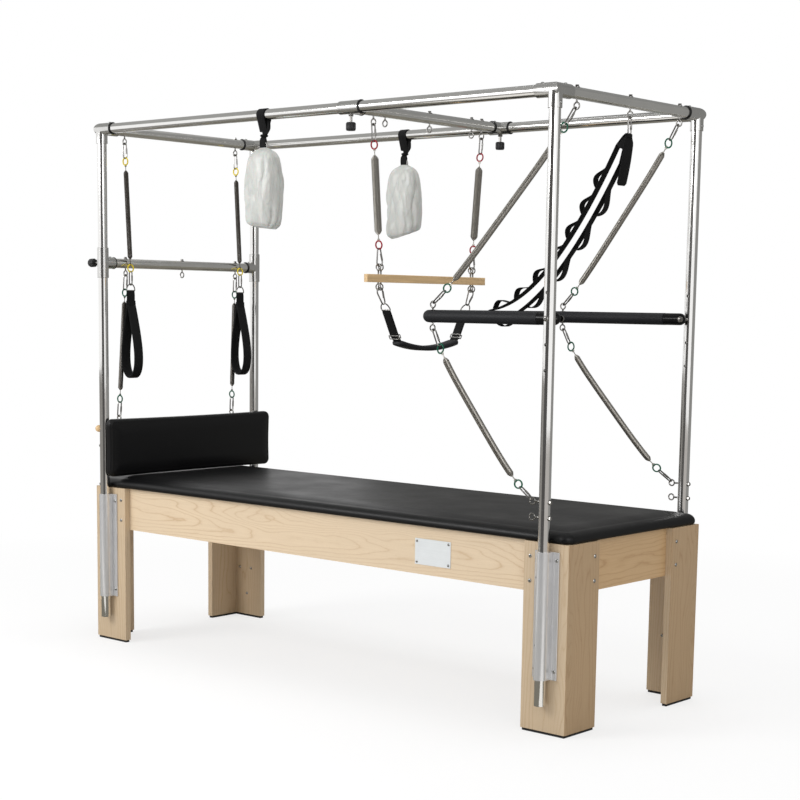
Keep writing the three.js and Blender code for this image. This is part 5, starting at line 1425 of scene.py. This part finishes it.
def strap_head(peak, steps=22):
    """The strap's end over the clip, its fold, its hanging tail and the join to the lower strand."""
    top_x, top_z = STRAP_TOP
    bend = [STRAP_TOP, (POST_X - 0.028, peak - 0.022), (POST_X - 0.014, peak - 0.008),
            (POST_X - 0.006, peak - 0.001), (POST_X - 0.001, peak), (POST_X + 0.003, peak - 0.003),
            (POST_X + 0.002, peak - 0.012)]
    bend_sizes = (1, 1.10, 1.15, 1.0, 0.75, 0.85, 0.95)
    fold = [(POST_X - 0.002, peak - 0.003), (top_x + 0.003, top_z + 0.001), (top_x + 0.010, top_z - 0.008),
            (POST_X - 0.015, top_z - 0.014)]
    half = STRAP_WIDTH * 0.45
    share = np.linspace(0, 1, steps)
    tail = np.linspace((POST_X, peak - 0.004), (POST_X - TAIL_LEAN, STRAP_PEAK - TAIL_LENGTH), steps)
    bow = np.stack([np.sin(math.pi * share) * 0.004, 0 * share], 1)
    tail_sizes = np.clip(0.50 + share * 3.2, 0, 1) * (1 - 26 * np.clip(share - 0.95, 0, 1) ** 1.5)
    return [strap_band(bend, 1.3, sizes=bend_sizes),
            skin([[(x, y, z) for x, z in fold] for y in (half, -half)]),
            strap_band(tail + bow, 1.6, TAIL_WIDTH, tail_sizes),
            strap_band(np.linspace((POST_X - 0.004, peak - 0.006), STRAP_FORK, 8))]


class TABLE_OT_safety_strap(bpy.types.Operator):
    """Build the safety strap round the push-through bar, with its sewn loops and tail"""

    bl_idname = "trapeze_table.safety_strap"
    bl_label = "Safety strap"

    def execute(self, context):
        upper = strap_strand(STRAP_TOP, -math.pi / 2)
        lower = strap_strand(STRAP_FORK, math.pi / 2)
        around = [strap_touch(-math.pi / 2 + math.pi * i / 20) for i in range(1, 20)]
        piece = Piece("safety_strap_webbing")
        piece.add("webbing", strap_band(np.vstack([upper, around, lower[::-1]])),
                  *strap_loops(upper, STRAP_UPPER_LOOPS, -1, 0.09),
                  *strap_loops(lower, STRAP_LOWER_LOOPS, 1, 0.10))
        clip_low = STRAP_PEAK - STRAP_THICK - WELDED * 0.4
        clip_high = TOP - EYE_DROP - EYE_RADIUS + HOOK_REST
        turn = Matrix.Translation((POST_X, 0, 0)) @ Matrix.Rotation(math.pi / 2, 4, "Z")
        piece.add("steel", *[moved(form, turn) for form in clip_forms(clip_low, clip_high)])
        piece.add("webbing", *strap_head(clip_low + 2 * WELDED))
        made = piece.build(None, ["safety_strap"], "webbing", sharp=60)
        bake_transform(made)
        return {"FINISHED"}


def bag_rings(node, folds, seed, slump_at, count=64, sides=120):
    """Rings of a bagged sling from its foot up: a soft square, creased, slumped a little at its foot."""
    centre, foot = middle(node), low(node).z
    half_x, half_y, _ = half_size(node)
    heights = (0, 0.015, 0.05, 0.12, 0.35, 0.60, 0.80, 0.88, 0.94, 0.975, 1.0)
    widths = (0.58, 0.78, 0.90, 0.96, 1.0, 0.96, 0.86, 0.78, 0.62, 0.40, 0.14)
    rings = []
    for i in range(count + 1):
        t = (1 - math.cos(math.pi * i / count)) / 2
        full = sum(np.interp(t + step, heights, widths) for step in (-0.02, -0.01, 0, 0.01, 0.02)) / 5
        ring = []
        for k in range(sides):
            angle = 2 * math.pi * k / sides
            c, s = math.cos(angle), math.sin(angle)
            wave = noise.noise(Vector((c * 1.4, s * 1.4, t * 2.2 + seed)))
            fine = noise.noise(Vector((c * 4.5, s * 4.5, t * 3.0 - seed)))
            crease = abs(math.sin(angle * folds / 2 + wave * 2.8 + t * 1.1 + seed))
            depth = 0.90 + 0.12 * crease ** 0.45 + 0.07 * wave + 0.045 * fine
            reach = full * depth * (abs(c) ** 2.6 + abs(s) ** 2.6) ** (-1 / 2.6)
            slump = slump_at(angle) * max(0, 1 - t / 0.4) ** 1.5
            ring.append((centre.x + half_x * reach * c, centre.y + half_y * reach * s,
                         foot + BAG_HEIGHT * t + slump))
        rings.append(ring)
    return rings


def bag_strap(name, x, y, top_z, steps=24):
    """The strap round the top rail, gathered above the bag, with its knot and its steel ring."""
    wrap, low_y = TUBE + GAP + 0.0018, 0.0022
    path = [(x, y + wrap * math.cos(a), TOP + wrap * math.sin(a))
            for a in np.linspace(-0.5, math.pi + 0.5, 26)]
    path = [(x, y + low_y, top_z + BAG_LOOP), *path, (x, y - low_y, top_z + BAG_LOOP)]
    hang = [(x + 0.006 * math.sin(2 * math.pi * i / steps), y, z)
            for i, z in enumerate(np.linspace(TOP - TUBE - 0.004, top_z - 0.012, steps))]
    gathered = np.interp(np.linspace(0, 1, steps), (0, 0.10, 0.26, 0.42, 0.50, 0.62, 0.80, 1),
                         (0.90, 1.16, 1.04, 0.52, 0.42, 0.76, 0.68, 0.56))
    strap = Piece(name)
    strap.add("webbing", band(path, BAG_STRAP, 0.003), band(hang, BAG_HANG, 0.0095, sizes=gathered),
              hoop((x, y, top_z + BAG_KNOT), Z, 0.010, 0.0045, 24, 10))
    return strap.add("steel", hoop((x, y, top_z + BAG_RING), Y, 0.015, 0.0021))


class TABLE_OT_bags(bpy.types.Operator):
    """Build the two bagged fleece slings and the straps that hold them on the top rails"""

    bl_idname = "trapeze_table.bags"
    bl_label = "Bagged slings"

    def execute(self, context):
        folds = context.scene.trapeze_table_sizes.bag_folds
        for (side, sign_y), lean, lift in zip(SIDES, (0.006, 0.015), (0.002, 0.008)):
            node = f"bagged_sling_{side}"

            def slump_at(angle):
                return lift + sign_y * lean * math.cos(angle - 0.71)

            bag = Piece(f"{node}_bundle").add("film", skin(bag_rings(node, folds, 3.7 * sign_y, slump_at)))
            bag.build(node, [node], "bag_film", sharp=80)
            strap = bag_strap(f"{node}_strap", middle(node).x, middle(node).y, low(node).z + BAG_HEIGHT)
            strap.build(node, slot="webbing")
        return {"FINISHED"}


def cushion_rings(centre, half_a, half_b, levels, corner, draw, steps=14, cells=24):
    """Rings of a cushion lying flat, one for each inset and height, its sides drawn in between corners."""
    signs = ((1, 1), (-1, 1), (-1, -1), (1, -1))
    rings = []
    for inset, height in levels:
        round_off = max(corner - inset, corner * 0.3)
        a, b = half_a - inset - round_off, half_b - inset - round_off
        turns = [[math.pi / 2 * (quarter + i / steps) for i in range(steps + 1)] for quarter in range(4)]
        corners = [[np.array((sign_a * a, sign_b * b)) + round_off * np.array((math.cos(turn), math.sin(turn)))
                    for turn in quarter] for quarter, (sign_a, sign_b) in zip(turns, signs)]
        ring = []
        for points, following in zip(corners, corners[1:] + corners[:1]):
            side = (following[0] - points[-1]) / cells
            ring += points + [points[-1] + side * i for i in range(1, cells)]
        rings.append([(x * (1 - draw / half_a * (1 - (y / half_b) ** 2)),
                       y * (1 - draw / half_b * (1 - (x / half_a) ** 2)), height) for x, y in ring])
    return np.array(rings) + np.array(centre)


def rounded_levels(top, roll, drop, crown, run, under):
    """Inset and height of each level, from the underside over an edge roll wide and drop high to the crown."""
    quarter = math.pi / 2
    levels = [(under * 1.6, 0)]
    levels += [(under * (1 - math.sin(a)), under * (1 - math.cos(a))) for a in np.linspace(0.3, quarter, 5)]
    levels += [(roll * (1 - math.cos(a)), top - drop + drop * math.sin(a)) for a in np.linspace(0, quarter, 12)]
    levels += [(roll + (run - roll) * t, top + crown * (1 - (1 - t) ** 2)) for t in np.linspace(0.12, 1, 10)]
    return levels


class TABLE_OT_mattress(bpy.types.Operator):
    """Build the crowned mattress with its rounded edge"""

    bl_idname = "trapeze_table.mattress"
    bl_label = "Mattress"

    def execute(self, context):
        bottom, corner = low("mattress").z, high("mattress")
        levels = rounded_levels(corner.z - bottom - MATTRESS_CROWN, roll=0.032, drop=0.025,
                                crown=MATTRESS_CROWN, run=0.095, under=0.010)
        rings = cushion_rings((0, 0, bottom), corner.x, corner.y, levels, 0.034, 0.004, cells=60)
        for point in rings.reshape(-1, 3):
            if point[2] > bottom + 0.02:
                point[2] += 0.0007 * noise.noise(Vector((point[0] * 3, point[1] * 3, 5.0)))
        pad = Piece("mattress_pad").add("leather", skin(rings))
        pad.build("frame", ["mattress"], "upholstery", sharp=80)
        return {"FINISHED"}


class TABLE_OT_bolster(bpy.types.Operator):
    """Build the long bolster that stands on the mattress"""

    bl_idname = "trapeze_table.bolster"
    bl_label = "Bolster"

    def execute(self, context):
        size = high("bolster") - low("bolster")
        face = rounded_levels(size.x / 2 - BOLSTER_CROWN, roll=0.014, drop=0.014,
                              crown=BOLSTER_CROWN, run=0.060, under=0.0001)[6:]
        levels = [(inset, -height) for inset, height in reversed(face)] + face
        rings = cushion_rings((0, 0, 0), size.z / 2, size.y / 2, levels, 0.026, 0.003, steps=10)
        rings = np.stack([rings[..., 2], rings[..., 1], -rings[..., 0]], -1)
        for point in rings.reshape(-1, 3):
            point[0] += 0.0010 * noise.noise(Vector((point[1] * 6, point[2] * 9, 2.0)))
        pad = Piece("bolster_pad").add("leather", skin(rings + np.array(middle("bolster"))))
        pad.build("bolster", ["bolster"], "upholstery", sharp=80)
        return {"FINISHED"}


def white_rays(finish):
    """One for the rays that see the white background: from camera and gloss and through clear things."""
    camera = finish.node("ShaderNodeLightPath", out="Is Camera Ray")
    glossy, clear = (Value(finish, camera.socket.node.outputs[ray])
                     for ray in ("Is Glossy Ray", "Is Transmission Ray"))
    return camera.math("MAXIMUM", glossy).math("MAXIMUM", clear)


def studio_floor():
    corners = [(x * FLOOR_REACH, y * FLOOR_REACH, 0) for x, y in ((-1, -1), (1, -1), (1, 1), (-1, 1))]
    floor = solid_of((np.array(corners), [[0, 1, 2, 3]], []), "floor")
    paint = Finish("floor_paint", Roughness=0.9, Specular_IOR_Level=0.1)
    paint.feed("Base Color", (0.90, 0.90, 0.90))
    glow = paint.node("ShaderNodeEmission", values={"Color": (1, 1, 1), "Strength": 1.0})
    away = paint.node("ShaderNodeVectorMath", {"operation": "LENGTH"}, {0: paint.place()}, out=1)
    seen = white_rays(paint) * paint.fit(away, 1.5, 4.0, 0.72, 1.0)
    paint.shown(paint.node("ShaderNodeMixShader", values={
        0: seen, 1: Value(paint, paint.shader.outputs[0]), 2: glow}))
    floor.data.materials.append(paint.material)


def studio_card(name, start, end, bottom, top, tone, cells=36):
    """A card that only metal and gloss show: azimuths in degrees, then reach and height of its two edges."""
    turns = np.radians(np.linspace(start, end, cells + 1))
    rings = [[(reach * math.cos(a), reach * math.sin(a), z) for a in turns] for reach, z in (bottom, top)]
    card = solid_of(skin(rings, closed_round=False, ends=False), name)
    paint = Finish(f"{name}_paint")
    paint.shown(paint.node("ShaderNodeEmission", values={"Color": tone, "Strength": 1.0}))
    card.data.materials.append(paint.material)
    card.visible_camera = card.visible_diffuse = card.visible_transmission = False
    card.visible_shadow = False


def studio_lamp(scene, name, place, size, power, aim_z):
    """A square lamp that faces a height on the table's middle line."""
    lamp = bpy.data.lights.new(name, "AREA")
    lamp.shape, lamp.size, lamp.energy = "SQUARE", size, power
    made = bpy.data.objects.new(name, lamp)
    made.location = place
    made.rotation_euler = (Z * aim_z - Vector(place)).to_track_quat("-Z", "Y").to_euler()
    scene.collection.objects.link(made)


def light_world(scene):
    """Even pale world, which is white to the camera, in metal and through clear things."""
    world = bpy.data.worlds.new("studio")
    scene.world = world
    world.use_nodes = True
    studio = Finish.__new__(Finish)
    studio.material, studio.tree = world, world.node_tree
    plain = studio.tree.nodes["Background"]
    plain.inputs["Color"].default_value = (1, 1, 1, 1)
    plain.inputs["Strength"].default_value = WORLD_STRENGTH
    white = studio.node("ShaderNodeBackground", values={"Color": (1, 1, 1), "Strength": 1.0})
    studio.shown(studio.node("ShaderNodeMixShader", values={
        0: white_rays(studio), 1: Value(studio, plain.outputs[0]), 2: white}), "World Output")


def place_camera(scene):
    """The photograph's camera, from its solved place, turn, lens and shift."""
    lens = bpy.data.cameras.new("photo_camera")
    lens.lens, lens.sensor_width = CAMERA_LENS, CAMERA_SENSOR
    lens.shift_x = (PICTURE_SIDE / 2 - PICTURE_CENTRE[0]) / PICTURE_SIDE
    lens.shift_y = (PICTURE_CENTRE[1] - PICTURE_SIDE / 2) / PICTURE_SIDE
    a, e, r = (math.radians(v) for v in (CAMERA_AZIMUTH, CAMERA_TILT, CAMERA_ROLL))
    back = Vector((math.sin(a) * math.cos(e), -math.cos(a) * math.cos(e), math.sin(e)))
    right = Vector((math.cos(a), math.sin(a), 0))
    up = back.cross(right)
    rolled_right = right * math.cos(r) + up * math.sin(r)
    rolled_up = up * math.cos(r) - right * math.sin(r)
    made = bpy.data.objects.new("photo_camera", lens)
    turn = Matrix((rolled_right, rolled_up, back)).transposed().to_4x4()
    made.matrix_world = Matrix.Translation(Vector(CAMERA_PLACE)) @ turn
    lens.clip_end = 100
    scene.collection.objects.link(made)
    scene.camera = made


class TABLE_OT_stage(bpy.types.Operator):
    """Set the floor, the studio light and the camera of the photograph"""

    bl_idname = "trapeze_table.stage"
    bl_label = "Stage"

    def execute(self, context):
        scene = context.scene
        studio_floor()
        for name, start, end, bottom, top, tone in (
                ("card_behind_camera", -102, -46, (WALL, 0.02), (WALL, ROOF), (0.085, 0.082, 0.080)),
                ("card_right", 6, 133, (WALL, 0.02), (WALL, ROOF), (0.27, 0.268, 0.260)),
                ("card_low_left", 133, 258, (WALL, 0.02), (WALL, 1.0), (0.26, 0.25, 0.235)),
                ("card_low_right", -46, 6, (WALL, 0.02), (WALL, 0.80), (0.46, 0.44, 0.42)),
                ("card_over_left", 131, 311, (0.01, ROOF), (WALL, 2.9), (0.36, 0.36, 0.35)),
                ("card_over_right", -49, 131, (0.01, ROOF), (WALL, ROOF), (0.24, 0.24, 0.235)),
                ("card_floor", 0, 360, (0.01, 0.003), (WALL, 0.003), (0.20, 0.19, 0.16)),
                ("card_floor_near", -34, -14, (1.50, 0.004), (WALL, 0.004), (0.90, 0.88, 0.84)),
                ("card_floor_far", -128, -110, (1.15, 0.004), (WALL, 0.004), (0.90, 0.88, 0.84))):
            studio_card(name, start, end, bottom, top, tone)
        light_world(scene)
        studio_lamp(scene, "key_light", (-2.2, -4.6, 3.4), 2.6, 150, 1.0)
        studio_lamp(scene, "fill_light", (4.6, -3.4, 3.0), 2.2, 34, 1.0)
        studio_lamp(scene, "top_light", (0.2, 0.6, 4.8), 3.2, 90, 0.6)
        place_camera(scene)
        scene.view_settings.view_transform = "Standard"
        return {"FINISHED"}


OPERATORS = (
    TABLE_OT_base, TABLE_OT_brackets, TABLE_OT_tubes, TABLE_OT_fittings, TABLE_OT_sliders,
    TABLE_OT_push_bar, TABLE_OT_springs, TABLE_OT_bars, TABLE_OT_sling, TABLE_OT_foot_loops,
    TABLE_OT_safety_strap, TABLE_OT_bags, TABLE_OT_mattress, TABLE_OT_bolster, TABLE_OT_stage)


class TABLE_PT_panel(bpy.types.Panel):
    """Lists the pieces of the table with their sizes and colours"""

    bl_idname = "TABLE_PT_panel"
    bl_label = "Trapeze Table"
    bl_space_type = "VIEW_3D"
    bl_region_type = "UI"
    bl_category = "Trapeze Table"

    def draw(self, context):
        for settings in (context.scene.trapeze_table_sizes, context.scene.trapeze_table_colours):
            for name in settings.__annotations__:
                self.layout.prop(settings, name)
        for operator in OPERATORS:
            self.layout.operator(operator.bl_idname)


CLASSES = (TableColours, TableSizes, *OPERATORS, TABLE_PT_panel)


def register():
    for kind in CLASSES:
        bpy.utils.register_class(kind)
    bpy.types.Scene.trapeze_table_colours = bpy.props.PointerProperty(type=TableColours)
    bpy.types.Scene.trapeze_table_sizes = bpy.props.PointerProperty(type=TableSizes)


def unregister():
    del bpy.types.Scene.trapeze_table_sizes
    del bpy.types.Scene.trapeze_table_colours
    for kind in reversed(CLASSES):
        bpy.utils.unregister_class(kind)


def main():
    register()
    make_finishes(bpy.context.scene.trapeze_table_colours)
    for operator in OPERATORS:
        group, name = operator.bl_idname.split(".")
        getattr(getattr(bpy.ops, group), name)()


if __name__ == "__main__":
    main()
